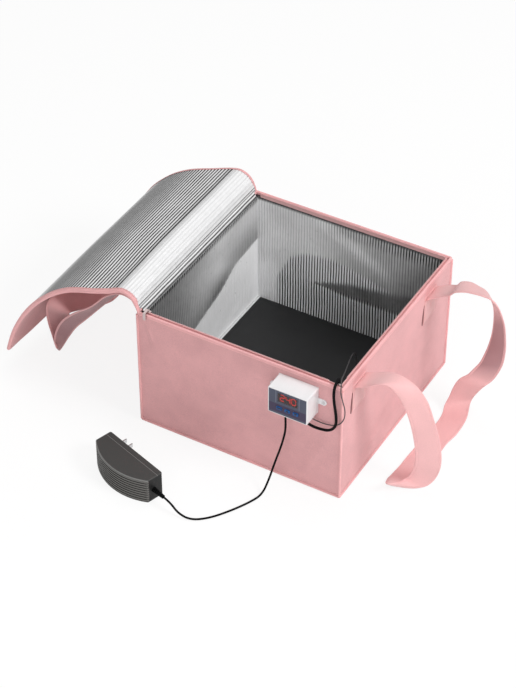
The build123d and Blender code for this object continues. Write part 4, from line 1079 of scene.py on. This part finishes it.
def make_gusset(number, start, direction, inward, along):
    """The strip of cloth that joins the tape to the rim, pulled slightly hollow."""
    across = np.linspace(0.0, GUSSET_WIDTH, 6)
    s, a = grid(along, across)
    x, y = (start[k] + direction[k] * s - inward[k] * (0.3 + a) for k in (0, 1))
    hollow = 0.5 * np.sin(math.pi * a / GUSSET_WIDTH)
    top = points_at(x, y, GUSSET_Z - hollow + 0.2 * noise_grid(along, across, 12.0, 57 + number))
    bottom = top - np.array([0.0, 0.0, 0.6])
    fit(slab(f"zipper_gusset_{number + 1}", top, bottom, along, across, "pink_binding"), "pink_fabric")


def make_tape(number, start, direction, inward, along):
    """One run of the zipper's tape, slightly wavy between its edges."""
    heights = np.linspace(WALL_TOP - 1.0, TAPE_TOP, 7)
    s, z = grid(along, heights)
    share = (z - heights[0]) / (heights[-1] - heights[0])
    bow = 0.3 * noise_grid(along, [number * 50.0], 16.0, 51) * share * (1 - share) * 4
    x, y = (start[k] + direction[k] * s + inward[k] * bow for k in (0, 1))
    rows = points_at(x, y, z)
    shift = np.array([*inward, 0]) * 0.5
    tape = slab(f"zipper_tape_{number + 1}", rows + shift, rows - shift, along, heights, "zipper_fabric")
    fit(tape, "zipper_fabric", *([] if number else ["rim_zipper"]))


def make_zipper():
    """The rim's zipper half: its tape, the cloth that holds it and its nylon coil."""
    teeth = []
    for number, (*run, bare) in enumerate(ZIPPER_RUNS):
        start, end, inward = (np.array(v, float) for v in run)
        length = np.linalg.norm(end - start)
        direction = (end - start) / length
        along = np.linspace(0, length, int(length / 3))
        make_tape(number, start, direction, inward, along)
        make_gusset(number, start, direction, inward, along)
        axes = (np.array([*inward, 0.0]), np.array([*direction, 0.0]), np.array([0, 0, 1.0]))
        count = int((length - sum(bare)) / TOOTH_PITCH)
        places = start + np.outer(bare[0] + (np.arange(count) + 0.5) * TOOTH_PITCH, direction)
        teeth += [((x, y, TOOTH_Z), axes) for x, y in places]
    template, faces = bead_template(2.4, 1.15, 2.2)
    fit(scatter("zipper_coil", template, faces, teeth, "zipper_fabric"), "zipper_fabric")


make_zipper()


# ---------------------------------------------------------------- lid
# The lid's foil side in side view, from its sewn foot over the crest to its free edge.
LID_LINE = [
    (-157.8, 200.4), (-158.8, 204.6), (-160.4, 209.2), (-164.2, 217.4), (-172.2, 225.4),
    (-185.0, 229.6), (-199.0, 226.8), (-216.0, 220.6), (-233.0, 213.8), (-261.0, 203.2),
    (-280.0, 194.0), (-300.0, 181.4), (-318.0, 166.2), (-336.0, 147.5), (-352.0, 124.6),
    (-366.0, 97.5), (-378.0, 68.0), (-388.1, 36.7),
]
LID_FOOT_THICKNESS = 3.9
FOOT_LENGTH = 8.0
# The last of the lid's five lengths, counted from 0.
LAST = 4
# Where the lid's lengths meet, as distances from the hinge line, and how far inside these
# each length starts and stops bending.
LID_CUTS = [-FOOT_LENGTH] + [count * LID_RIB_PITCH for count in (2.5, 8.5, 19.5, 34.5)]
BEND_MARGINS = [(0.0, 2.0), (1.5, 1.5), (1.5, 6.0), (6.0, 6.0), (6.0, 0.0)]
LAST_BEND_END = 268.0
# How far the lid's front edge sags, at distances from the hinge line, and how far its tip
# draws out.
DROOP_AT = [8.0, 36.0, 60.0, 90.0, 135.0, 300.0]
DROOP = [0.0, -3.6, -7.2, -7.2, -5.0, -4.6]
TIP_DRAW = -6.4


def lid_stations():
    """Even stations along the lid: distance from the hinge line, x, z and direction."""
    line = flowing(np.array([(x, 0.0, z) for x, z in LID_LINE]), 24)[:, (0, 2)]
    distance = arc_length(line)
    even = np.linspace(0.0, distance[-1], 1400)
    x = np.interp(even, distance, line[:, 0])
    z = np.interp(even, distance, line[:, 1])
    direction = np.unwrap(np.arctan2(np.gradient(z), np.gradient(x)))
    direction = np.convolve(np.pad(direction, 12, mode="edge"), np.ones(25) / 25, mode="valid")
    return even - FOOT_LENGTH, x, z, direction


LID_S, LID_X, LID_Z, LID_DIRECTION = lid_stations()
LID_LENGTH = LID_S[-1]
LID_CUTS.append(LID_LENGTH)
# How many ribs there are to a millimetre, at distances from the hinge line.
RIB_DENSITY_AT = [47.59, 47.6, 109.2, 193.2]
RIB_DENSITY = [1 / LID_RIB_PITCH, 0.1500, 0.17468, 0.20628]
LID_RIB_DENSITY = np.interp(LID_S, RIB_DENSITY_AT, RIB_DENSITY)
LID_RIB_S = np.cumsum(LID_RIB_DENSITY) * (LID_S[1] - LID_S[0]) * LID_RIB_PITCH
LID_RIB_S += LID_CUTS[2] - np.interp(LID_CUTS[2], LID_S, LID_RIB_S)


def lid_rib(s):
    """The distance along the lid, stretched so that the ribs are evenly spaced in it."""
    return np.interp(s, LID_S, LID_RIB_S)


def lid_shape(s):
    """x and z on the foil side, direction and thickness, at distances from the hinge line."""
    x, z, direction = (np.interp(s, LID_S, values) for values in (LID_X, LID_Z, LID_DIRECTION))
    share = smooth((s + FOOT_LENGTH) / (FOOT_LENGTH + 8.0))
    return x, z, direction, towards(LID_FOOT_THICKNESS, LID_THICKNESS, share)


def lid_droop(s, y):
    """How far the lid's front edge sags off its straight line, in x and z."""
    near_front = smooth((-y - 20.0) / 142.0)
    outward = TIP_DRAW * smooth((s - 190.0) / 110.0)
    return outward * near_front, np.interp(s, DROOP_AT, DROOP) * near_front


def lid_points(s, y, height):
    """Points of the lid at distances along it, depths and shares of its thickness."""
    x, z, direction, thickness = lid_shape(s)
    aside, down = lid_droop(s, y)
    out = (height / LID_THICKNESS - 1.0) * thickness
    return points_at(x + aside + out * np.sin(direction), y, z + down - out * np.cos(direction))


def lid_fit(piece, number, slot, *nodes):
    """Bake a piece of the lid in place, and hide the nodes of the frame that it replaces."""
    first, last = BEND_MARGINS[number]
    stop = LAST_BEND_END if number == LAST else LID_CUTS[number + 1] - last
    start = lid_points(LID_CUTS[number] + first, 0, LID_THICKNESS / 2)
    end = lid_points(stop, 0, LID_THICKNESS / 2)
    if number == 0:
        start = (start[0], 0, BOX_TOP + 1.0)
    start, end = ([c * MM for c in point] for point in (start, end))
    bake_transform(piece)
    if nodes:
        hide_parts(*nodes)


def lid_nodes(kind, number):
    """The frame's strips that one length stands for; the last length takes in the last two."""
    return [f"lid_{kind}_{k}" for k in range(max(number, 1), number + 1 + number // LAST)]


def lid_ends(number, short):
    """Where one length of the lid starts and ends, the last one ending short for its binding."""
    return LID_CUTS[number], LID_CUTS[number + 1] - (short if number == LAST else 0.0)


def lid_section(half, binding):
    """The cover's section across the lid: outer line then inner line, as depth and height."""
    middle = LID_THICKNESS / 2
    # The lip and the turn of the front binding; the back binding mirrors them.
    front = [(binding - half, LID_THICKNESS - 0.1)]
    for turn in np.linspace(math.pi, 0, 11):
        front.append((2.2 - half - 2.2 * math.sin(turn), middle - middle * math.cos(turn)))
    across = [(y, 0.0) for y in np.linspace(8 - half, half - 8, 81)]
    line = front + across + [(-y, h) for y, h in front[::-1]]
    reach = half - binding
    line = np.array(line)
    return line, np.clip(line, (-reach, LID_COVER), (reach, LID_THICKNESS - 1.2))


def lid_distances(start, end, step):
    """Even stations between two cuts."""
    return np.linspace(start, end, max(3, int(round((end - start) / step)) + 1))


def make_lid_cover(number):
    """One length of the lid's cloth, folded up round its front and back edges as a binding."""
    line, inside = lid_section(BOX_Y, LID_BINDING)
    distances = lid_distances(*lid_ends(number, 2.5), 3.0)
    y, h = line.T
    ease = np.clip(distances / 30.0, 0.0, 1.0)[:, None] * (np.abs(y) < BOX_Y - 6)
    sag = np.minimum(0.9 * (noise_grid(distances, y, 46.0, 61) - 0.25) * ease, 0.0)
    outer = lid_points(distances[:, None], y, h + sag)
    inner = lid_points(distances[:, None], *inside.T)
    piece = slab(f"lid_cloth_{number + 1}", outer, inner, distances, arc_length(line), "pink_fabric")
    paint_binding(piece)
    lid_fit(piece, number, "pink_fabric", *(lid_nodes("cover", number) or ["lid_hinge_web"]))


def paint_binding(piece):
    """Give the folded edges their own lighter cloth."""
    piece.data.materials.append(MATERIALS["pink_binding"])
    edge = (BOX_Y - 5.5) * MM
    for face in piece.data.polygons:
        if min(abs(piece.data.vertices[v].co.y) for v in face.vertices) > edge:
            face.material_index = 1


# The foil's painted reflection: its brightness and rib contrast at distances from the hinge line.
LID_SHADES_AT = [-8, 8, 12, 44, 46, 50, 58, 104, 124, 150, 176, 186, 196, 206, 238, 330]
LID_TONES = [0.70, 0.72, 0.76, 0.76, 0.62, 0.14, 0.06, 0.07, 0.13, 0.19, 0.19, 0.22, 0.40, 0.62, 0.62, 0.34]
LID_CONTRASTS = [0.1, 0.1, 0.04, 0.04, 0.2, 1.1, 1.45, 1.4, 0.75, 0.32, 0.10, 0.06, 0.06, 0.06, 0.06, 0.10]
# Single dark lines painted in the foil's reflection near the hinge: distance, half width, change of
# brightness.
LID_DARK_LINES = [
    (-5.4, 0.7, -0.75),
    (-1.5, 0.7, -0.80),
    (19.0, 0.6, -0.16),
    (38.5, 0.6, -0.20),
    (43.5, 0.8, -0.34),
    (48.4, 1.2, -0.90),
]


def lid_tone(s, y):
    """The foil's painted reflection, as brightness and rib contrast by distance from the hinge."""
    at = s + 3.0 * noise.noise(Vector((y / 160.0, s / 300.0, 3.3)))
    tone = np.interp(at, LID_SHADES_AT, LID_TONES)
    tone += sum(change * bell((s - place) / half) for place, half, change in LID_DARK_LINES)
    tone += 0.03 * noise.noise(Vector((s / 14.0, y / 90.0, 8.1)))
    return tone, np.interp(at, LID_SHADES_AT, LID_CONTRASTS)


def make_lid_foil(number):
    """One length of the lid's foam with its ribbed foil face."""
    half = BOX_Y - LID_BINDING + 0.3
    distances = lid_distances(*lid_ends(number, LID_BINDING), LID_RIB_PITCH / 8)
    depths = np.linspace(-half, half, 37)
    ribs = lid_rib(distances)
    swell = np.minimum(0.2, 0.35 * noise_grid(distances, depths, 60.0, 71) - 0.1)
    face = LID_THICKNESS - 0.2 - RIB_DEPTH + rib_height(ribs, LID_RIB_PITCH)[:, None] + swell
    top, bottom = (lid_points(distances[:, None], depths, h) for h in (face, LID_COVER + 0.05))
    shades = np.array([[lid_tone(s, y) for y in depths] for s in distances])
    layers = {"tone": shades[:, :, 0], "contrast": shades[:, :, 1]}
    name = f"lid_foil_{number + 1}"
    piece = slab(name, top, bottom, ribs, depths, "foil_lid", layers, sharp=60.0)
    lid_fit(piece, number, "foil_lid", *lid_nodes("liner", number))


# The foil facing over the rim: its section as x and z, and the brightness of its painted reflection along
# that.
HINGE_FACING = [
    (-158.9, 201.7), (-157.4, 201.2), (-156.0, 199.0), (-155.2, 196.6), (-153.8, 194.6),
    (-151.8, 194.3),
]
HINGE_SHADES_AT = [0, 2, 3, 4, 5.5, 6.5, 8, 9, 12]
HINGE_TONES = [0.85, 0.8, 0.05, 0.05, 0.85, 0.85, 0.1, 0.05, 0.3]
FACING_HALF = 153.6


def make_hinge_facing():
    """The foil that runs from the lid's foot down over the rim and the foam's top."""
    line = np.array(HINGE_FACING)
    distance = arc_length(line)
    even = np.linspace(0, distance[-1], 15)
    ys = np.linspace(-FACING_HALF, FACING_HALF, 90)
    s, y = grid(even, ys)
    x, z = (np.interp(s, distance, line[:, k]) for k in (0, 1))
    top = points_at(x, y, z + 0.25 * np.sin(y / 9.0) * np.sin(s / 3.0))
    bottom = top - np.array([0.3, 0.0, 0.5])
    layers = {"tone": np.interp(s, HINGE_SHADES_AT, HINGE_TONES), "contrast": np.full_like(s, 0.03)}
    fit(slab("hinge_facing", top, bottom, even, ys, "foil_lid", layers), "foil_lid")


def make_lid_tip():
    """The binding along the lid's free edge."""
    depths = np.linspace(-BOX_Y + 0.6, BOX_Y - 0.6, 90)
    across, up = bead_section(LID_BINDING, LID_THICKNESS)
    y = depths[:, None]
    pinch = 1.0 - 0.5 * np.maximum(0.0, 1 - (BOX_Y - np.abs(y)) / 2.0)
    end = LID_LENGTH - np.abs(0.3 * noise_grid(depths, [0.0], 40.0, 81))
    rings = lid_points(end - across * pinch, y, towards(LID_THICKNESS / 2, up, pinch))
    around = np.linspace(0, 2 * (LID_BINDING + LID_THICKNESS), len(across) + 1)
    piece = loft("lid_tip_binding", rings, depths, around, "pink_binding")
    fit(piece, "pink_fabric", body="lid_strip_5")


def lid_edge_rows(start, end, y, height, up):
    """A row of points along the lid's edge with its normals."""
    distances = lid_distances(start, end, 2.0)
    turns = lid_shape(distances)[2]
    return lid_points(distances, y, height), points_at(up * np.sin(turns), 0.0, -up * np.cos(turns))


def make_lid_trim(number):
    """The lid's half of the zipper coil and the binding's stitches, on one length."""
    start, end = lid_ends(number, LID_BINDING)
    start = max(start, 4.0)
    rows = []
    places = []
    for side in (-1, 1):
        seam = BOX_Y - LID_BINDING
        rows.append(lid_edge_rows(start, end, side * (seam + 0.8), LID_THICKNESS + 0.05, 1))
        rows.append(lid_edge_rows(start, end, side * (seam - 0.6), -0.05, -1))
        coil_row = lid_edge_rows(start, end, side * (seam - 0.7), LID_THICKNESS + 0.2, 1)
        places += stitch_places(*coil_row, TOOTH_PITCH)
    lid_fit(add_stitches(f"lid_stitches_{number + 1}", rows), number, "pink_fabric")
    template, faces = bead_template(1.35, 2.0, 1.0)
    coil = scatter(f"lid_coil_{number + 1}", template, faces, places, "pink_binding")
    lid_fit(coil, number, "zipper_fabric")


for number in range(LAST + 1):
    make_lid_cover(number)
    make_lid_foil(number)
    make_lid_trim(number)
make_hinge_facing()
make_lid_tip()


# ---------------------------------------------------------------- straps
# Rows as in the frame: distance out from the wall, distance behind the sewn end's front edge,
# height, and the direction of the band's width.
RIGHT_STRAP_FRONT = [
    (18, 0, 189, (6, 35, 2)), (33, 1, 199, (13, 34, 0)), (45, 4, 202, (19, 30, -5)),
    (55, 9, 193, (25, 25, -5)), (64.1, 17.6, 170.5, (30, 20, -4)), (71.2, 24.2, 143, (31, 17, -6)),
    (77, 28.2, 115, (31, 17, -5)), (80.8, 33.2, 80, (32, 16, -3)), (80.8, 35.8, 52, (32, 16, -4)),
    (74, 38.2, 26.5, (34, 13, -2)), (66, 33.3, 15.7, (32, 14, -7)), (63.2, 18, 21.6, (21, 22, -19)),
    (59, 7, 26.6, (4, 25, -25)), (54.4, 5.8, 26.9, (-10, 23, -26)),
    (59.1, 11.9, 21.1, (-19, 24, -20)), (70.5, 30, 13.3, (-29, 17, -12)),
    (76.3, 63.8, 15.7, (-33, 4, -14)), (80.2, 102.9, 1.4, (-36, 2, 0)),
    (80.4, 140.2, 1.4, (-36, 2, 0)),
]
RIGHT_STRAP_BACK = [
    (83.9, -43.5, 1.4, (-36, -2, 0)), (81.7, -8.3, 1.6, (-36, -6, 0)),
    (74, 22.2, 9, (-27, -22, 10)), (92.7, 11.3, 48.4, (-35, -11, 10)),
    (107.4, 16.3, 68.4, (-34, -13, 7)), (119.9, 12.7, 101.9, (-33, -3, -8)),
    (123.7, 9.7, 132.1, (-30, 5, -15)), (123.5, 6.1, 157.8, (-26, 12, -18)),
    (120.7, 2.8, 184.8, (-22, 16, -21)), (112.7, -0.5, 209.3, (-16, 21, -23)),
    (102.6, -2.7, 222.8, (-11, 25, -23)), (88.8, -3.7, 225.4, (-9, 31, -16)),
    (74.2, -3, 223.7, (-7, 34, -13)), (59.9, -2.8, 220.7, (-6, 36, -9)),
    (45.3, -2.1, 213.6, (-5, 36, -7)), (38.3, -1, 205.3, (-5, 36, -8)),
    (27.3, -0.2, 198.2, (-5, 36, -6)),
]
LEFT_STRAP_FRONT = [
    (26, 3, 184, (-2, 36, 0)), (52, 9, 182, (-6, 35, -2)), (80, 12, 165, (-6, 34, -11)),
    (107.1, 11.8, 135.4, (0, 29, -19)), (141, 12.7, 107.9, (-6, 23, -25)),
    (162.6, 12.4, 83.2, (-9, 24, -23)), (172.8, 12.1, 60, (-5, 25, -24)),
    (176.7, 13.4, 41.3, (2, 24, -26)), (171.9, 11.1, 31.8, (12, 22, -26)),
    (177.9, 15.3, 33.9, (9, 25, -23)),
]
LEFT_STRAP_BACK = [
    (188.9, -188.3, 41.8, (-6, 31, -15)), (198.1, -182.4, 53.5, (-19, 29, -5)),
    (201.4, -180.7, 70.9, (-29, 19, -7)), (198.2, -181, 90.5, (-34, 8, -12)),
    (191.8, -171.7, 102.4, (-31, -1, -19)), (187.2, -144.6, 95.5, (-25, -3, -25)),
    (182.6, -112.4, 81.3, (-27, -7, -23)), (173.3, -80.9, 74.1, (-23, -6, -27)),
    (155.3, -81.4, 96.3, (-20, 14, -26)), (133.9, -79.7, 114.3, (-11, 30, -17)),
    (110, -73, 130, (2, 36, -2)), (74, -38, 150, (2, 36, 0)), (40, -13, 170, (1, 36, 0)),
]


def strap_stations(side, front_rows, back_rows):
    """The two edge points of a strap at each station, from its front end to its back end."""
    near = []
    far = []
    for rows, (y0, y1) in ((front_rows, TAB_Y[0]), (back_rows, TAB_Y[1])):
        flap = []
        for z in (STRAP_ROOT_Z - STRAP_FLAP, STRAP_ROOT_Z):
            x = side * STRAP_ROOT
            flap.append((np.array([x, y0, z]), np.array([x, y1, z])))
        run = []
        for out, behind, z, across in rows:
            corner = np.array([side * (BOX_X + out), y0 + behind, z], float)
            run.append((corner, corner + unit(np.array([side, 1, 1]) * across) * STRAP_WIDTH))
        for a, b in flap + run if rows is front_rows else run + flap[::-1]:
            near.append(a)
            far.append(b)
    return np.array(near), np.array(far)


STRAP_ACROSS = [0, 0.35, 1.0, 2.2, 3.0, 3.8, 7, 11, 15, 18, 21, 25, 29, 32.2, 33, 33.8, 35, 35.65, 36]
STRAP_HALF = 1.0
STRAP_SEAM = 3.0
STRAP_HEM = 3.4
STRAP_STEPS = 9
STRAP_LOWEST = 0.2
STITCH_LOWEST = 0.7


def strap_profile(across):
    """Half the strap's thickness at a place across it, thin at its edges and its seams."""
    edge = min(across, STRAP_WIDTH - across)
    if edge <= 0.0:
        return 0.25
    rounded = min(1.0, 0.55 + 0.45 * edge)
    seam = 0.28 * math.exp(-(((edge - STRAP_SEAM) / 0.7) ** 2))
    return STRAP_HALF * (rounded - seam)


# How much shade is painted on each face of a strap, by row from its front end, for where it lies in shadow.
STRAP_SHADES = {
    ("right", "top"): ([22.5, 24.0, 27.0, 28.5], [0.0, 0.8, 0.8, 0.0]),
    ("right", "bottom"): ([0, 1], [0.0, 0.0]),
    ("left", "top"): ([0, 6.0, 7.5, 9.0], [1.0, 0.9, 0.3, 0.0]),
    ("left", "bottom"): ([8.6, 9.8, 12.2, 13.2], [0.1, 0.55, 0.5, 0.0]),
}


def strap_shades(side_name, count):
    """How much shade is painted on each point of a strap's rings; its hems take less of it."""
    rows = np.arange(count) / STRAP_STEPS - 2.0
    hem = np.array([1.0 if min(a, STRAP_WIDTH - a) > STRAP_HEM else 0.3 for a in STRAP_ACROSS])
    top, bottom = (np.interp(rows, *STRAP_SHADES[side_name, face]) for face in ("top", "bottom"))
    return np.hstack([np.outer(top, hem), np.outer(bottom, hem[::-1])])


def make_strap(side_name, side, front_rows, back_rows):
    """One carrying strap of webbing with a stitched hem along each edge."""
    near, far = (flowing(edge, STRAP_STEPS) for edge in strap_stations(side, front_rows, back_rows))
    middle = (near + far) / 2
    width = unit(far - near)
    normal = unit(np.cross(np.gradient(middle, axis=0), width))
    along = arc_length(middle)
    across = np.array(STRAP_ACROSS)
    half = np.array([strap_profile(a) for a in STRAP_ACROSS])
    ripple = 0.5 * (1.0 - np.abs(2 * across / STRAP_WIDTH - 1.0))
    ripple = ripple * noise_grid(along, across, 22.0, 101 + side)
    base = near[:, None] + width[:, None] * across[:, None]
    top, bottom = (base + normal[:, None] * (ripple + h)[:, :, None] for h in (half, -half))
    rings = np.concatenate([top, bottom[:, ::-1]], axis=1)
    rings[:, :, 2] = np.maximum(rings[:, :, 2], STRAP_LOWEST)
    around = np.concatenate([across, across[::-1], across[:1]])
    # Painted shade on the strap's faces where they lie in shadow.
    layers = {"shade": strap_shades(side_name, len(near))}
    name = side_name + "_strap_webbing"
    piece = loft(name, rings, along, around, "strap_fabric", layers=layers, sharp=70.0)
    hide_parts(side_name + "_handle")

    rows = []
    inside = slice(2, -2)
    for across in (STRAP_SEAM, STRAP_WIDTH - STRAP_SEAM):
        for up in (1, -1):
            line = near + width * across + up * normal * (strap_profile(across) + 0.12)
            line[:, 2] = np.maximum(line[:, 2], STITCH_LOWEST)
            rows.append((line[inside], up * normal[inside]))
    seams = add_stitches(side_name + "_strap_stitches", rows)
    for part in (piece, seams):
        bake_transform(part)


make_strap("right", 1, RIGHT_STRAP_FRONT, RIGHT_STRAP_BACK)
make_strap("left", -1, LEFT_STRAP_FRONT, LEFT_STRAP_BACK)


def make_slit(name, side, y0):
    """A dark strip painted as the shadow in the narrow gap where the cover gapes at the patch's front edge.
    """
    zs = np.linspace(TAB_Z[0] - 1.0, TAB_Z[1] - 12.0, 25)
    share = np.linspace(0, 1, 7)
    half = 0.25 + 1.5 * np.sin(math.pi * np.linspace(0.06, 0.9, 25)) ** 1.5 * np.linspace(1.0, 0.25, 25)
    middle = y0 - 1.3 - 2.2 * np.linspace(1.0, 0.0, 25)
    y = middle + (share[:, None] - 0.5) * 2 * half
    rise = 0.9 + 0.25 * np.sin(math.pi * share)[:, None]
    outer = points_at(side * (BOX_X + rise), y, zs)
    inner = points_at(side * (BOX_X - 0.6), y, zs)
    fit(slab(name, outer, inner, share * 3.0, zs, "slit_shade", sharp=60.0), "strap_fabric")


TAB_INSET = 3.0


def tab_stitches(name, side, y0, y1):
    """A box stitch with a cross in it."""
    z0, z1 = TAB_Z
    x = side * (BOX_X + 1.45)
    over = x + side * 0.2
    a, b, c, d = y0 + TAB_INSET, y1 - TAB_INSET, z0 + TAB_INSET, z1 - TAB_INSET
    loops = [
        [(x, a, c), (x, b, c), (x, b, d), (x, a, d), (x, a, c)],
        [(over, a, c), (over, b, d)],
        [(over, a, d), (over, b, c)],
    ]
    normals = np.tile([side, 0.0, 0.0], (12, 1))
    rows = [(np.linspace(*ends, 12), normals) for loop in loops for ends in zip(loop, loop[1:])]
    fit(add_stitches(name + "_stitches", rows), "strap_fabric")


def make_tab(name, side, y0, y1, *nodes):
    """A sewn patch with a box stitch and cross."""
    z0, z1 = TAB_Z
    ys = np.linspace(y0, y1, 25)
    zs = np.linspace(z0, z1, 29)
    grid_y, grid_z = grid(ys, zs)
    near = np.minimum(np.minimum(grid_y - y0, y1 - grid_y), np.minimum(grid_z - z0, z1 - grid_z))
    pillow = 1.6 - 0.5 * bell((near - TAB_INSET) / 1.2) - 0.6 * (near < 0.3)
    pillow += 0.25 * noise_grid(ys, zs, 9.0, 111 + side)
    outer = points_at(side * (BOX_X + pillow), grid_y, grid_z)
    inner = points_at(side * (BOX_X - 1.2), grid_y, grid_z)
    fit(slab(name, outer, inner, ys, zs, "strap_fabric", sharp=60.0), "strap_fabric", *nodes)
    make_slit(name + "_slit", side, y0)
    tab_stitches(name, side, y0, y1)


for side_name, side in (("right", 1), ("left", -1)):
    make_tab(side_name + "_tab_1", side, *TAB_Y[0], side_name + "_handle_tabs")
    make_tab(side_name + "_tab_2", side, *TAB_Y[1])


# ---------------------------------------------------------------- heating mat
MAT_LEFT, MAT_RIGHT, MAT_BACK = -147.0, 149.5, 153.25
MAT_TOP = 11.0


def make_mat():
    """The black heating mat, with a rolled edge and a stitched hem."""
    xs = np.linspace(MAT_LEFT, MAT_RIGHT, 121)
    ys = np.linspace(-MAT_BACK, MAT_BACK, 121)
    grid_x, grid_y = grid(xs, ys)
    near_x = np.minimum(grid_x - MAT_LEFT, MAT_RIGHT - grid_x)
    near_y = np.minimum(grid_y + MAT_BACK, MAT_BACK - grid_y)
    near = np.minimum(near_x, near_y)
    top = MAT_TOP - 1.6 * np.exp(-near / 1.1) - 0.5 * bell((near - 7.0) / 1.4)
    rise = 0.6 * noise_grid(xs, ys, 80.0, 121) + 0.25 * noise_grid(xs, ys, 26.0, 122) - 0.3
    top += rise * smooth(near / 20.0)
    high, low = (points_at(grid_x, grid_y, z) for z in (top, FLOOR_TOP + 0.85))
    piece = slab("mat_cloth", high, low, xs, ys, "mat_skin")
    fit(piece, "mat_skin", "heating_mat")


make_mat()


# ---------------------------------------------------------------- marks on the keys
MARK_SIZE = 1.25
MARK_ROUNDING = 0.14
KEY_MARKS = {
    "set": [(-2.6, -0.8), (2.6, -0.8), (2.6, 0.8), (-2.6, 0.8)],
    "up": [(-2.1, -1.3), (2.1, -1.3), (0.0, 1.7)],
    "down": [(-2.1, 1.3), (0.0, -1.7), (2.1, 1.3)],
}


def mark_outline(key):
    """A key mark's outline with rounded corners."""
    outline = MARK_SIZE * np.array(KEY_MARKS[key])
    rounded = []
    for before, corner, after in zip(np.roll(outline, 1, axis=0), outline, np.roll(outline, -1, axis=0)):
        a = towards(corner, before, MARK_ROUNDING)
        b = towards(corner, after, MARK_ROUNDING)
        for t in np.linspace(0, 1, 5):
            rounded.append(a * (1 - t) ** 2 + corner * 2 * t * (1 - t) + b * t**2)
    return np.array(rounded)


def make_key_mark(key):
    """A small raised bar or arrow on a key's face."""
    low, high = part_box(key + "_button")
    centre = (low + high) / 2
    outline = mark_outline(key)
    count = len(outline)
    points = []
    for scale, lift in ((1.0, -0.3), (1.0, 0.3), (0.86, 0.42)):
        for x, z in outline * scale:
            points.append((centre.x / MM + x, low.y / MM - lift, centre.z / MM + z))
    faces = [tuple(range(count)), tuple(range(3 * count - 1, 2 * count - 1, -1))]
    for ring in (0, count):
        for k in range(count):
            n = (k + 1) % count
            faces.append((ring + k, ring + count + k, ring + count + n, ring + n))
    corners = [(points[i][0] * MM, points[i][2] * MM) for face in faces for i in face]
    piece = add_piece(key + "_mark", points, faces, corners, "symbol_dark")
    fit(piece, "key_slate", body=key + "_key")


for key in KEY_MARKS:
    make_key_mark(key)


# ---------------------------------------------------------------- finishes on the frame
NODE_FINISHES = {
    "zipper_metal": ["zipper_stop", "zipper_slider", "zipper_pull"],
    "heating_film": ["heating_film"],
    "black_rubber": ["mat_cable_boot", "cable_glands", "adapter_strain_relief"],
    "white_plastic": ["controller_case", "controller_back"],
    "slate_face": ["faceplate"],
    "display_black": ["display_window"],
    "display_red": ["display_digits"],
    "key_slate": ["set_button", "up_button", "down_button"],
    "circuit_board": ["controller_board", "adapter_board"],
    "relay_blue": ["relay"],
    "terminal_green": ["terminal_block"],
    "black_plastic": ["adapter_front_shell", "adapter_back_shell"],
    "transformer_steel": ["transformer"],
    "steel": ["mounting_screws", "plug_blades", "probe_tip"],
}


def paint_nodes():
    """Give each node of the frame that still shows its finish."""
    for finish, nodes in NODE_FINISHES.items():
        for obj in (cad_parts[node] for node in nodes):
            if not obj.material_slots:
                obj.data.materials.append(MATERIALS[finish])
            for material_slot in obj.material_slots:
                material_slot.material = MATERIALS[finish]


paint_nodes()
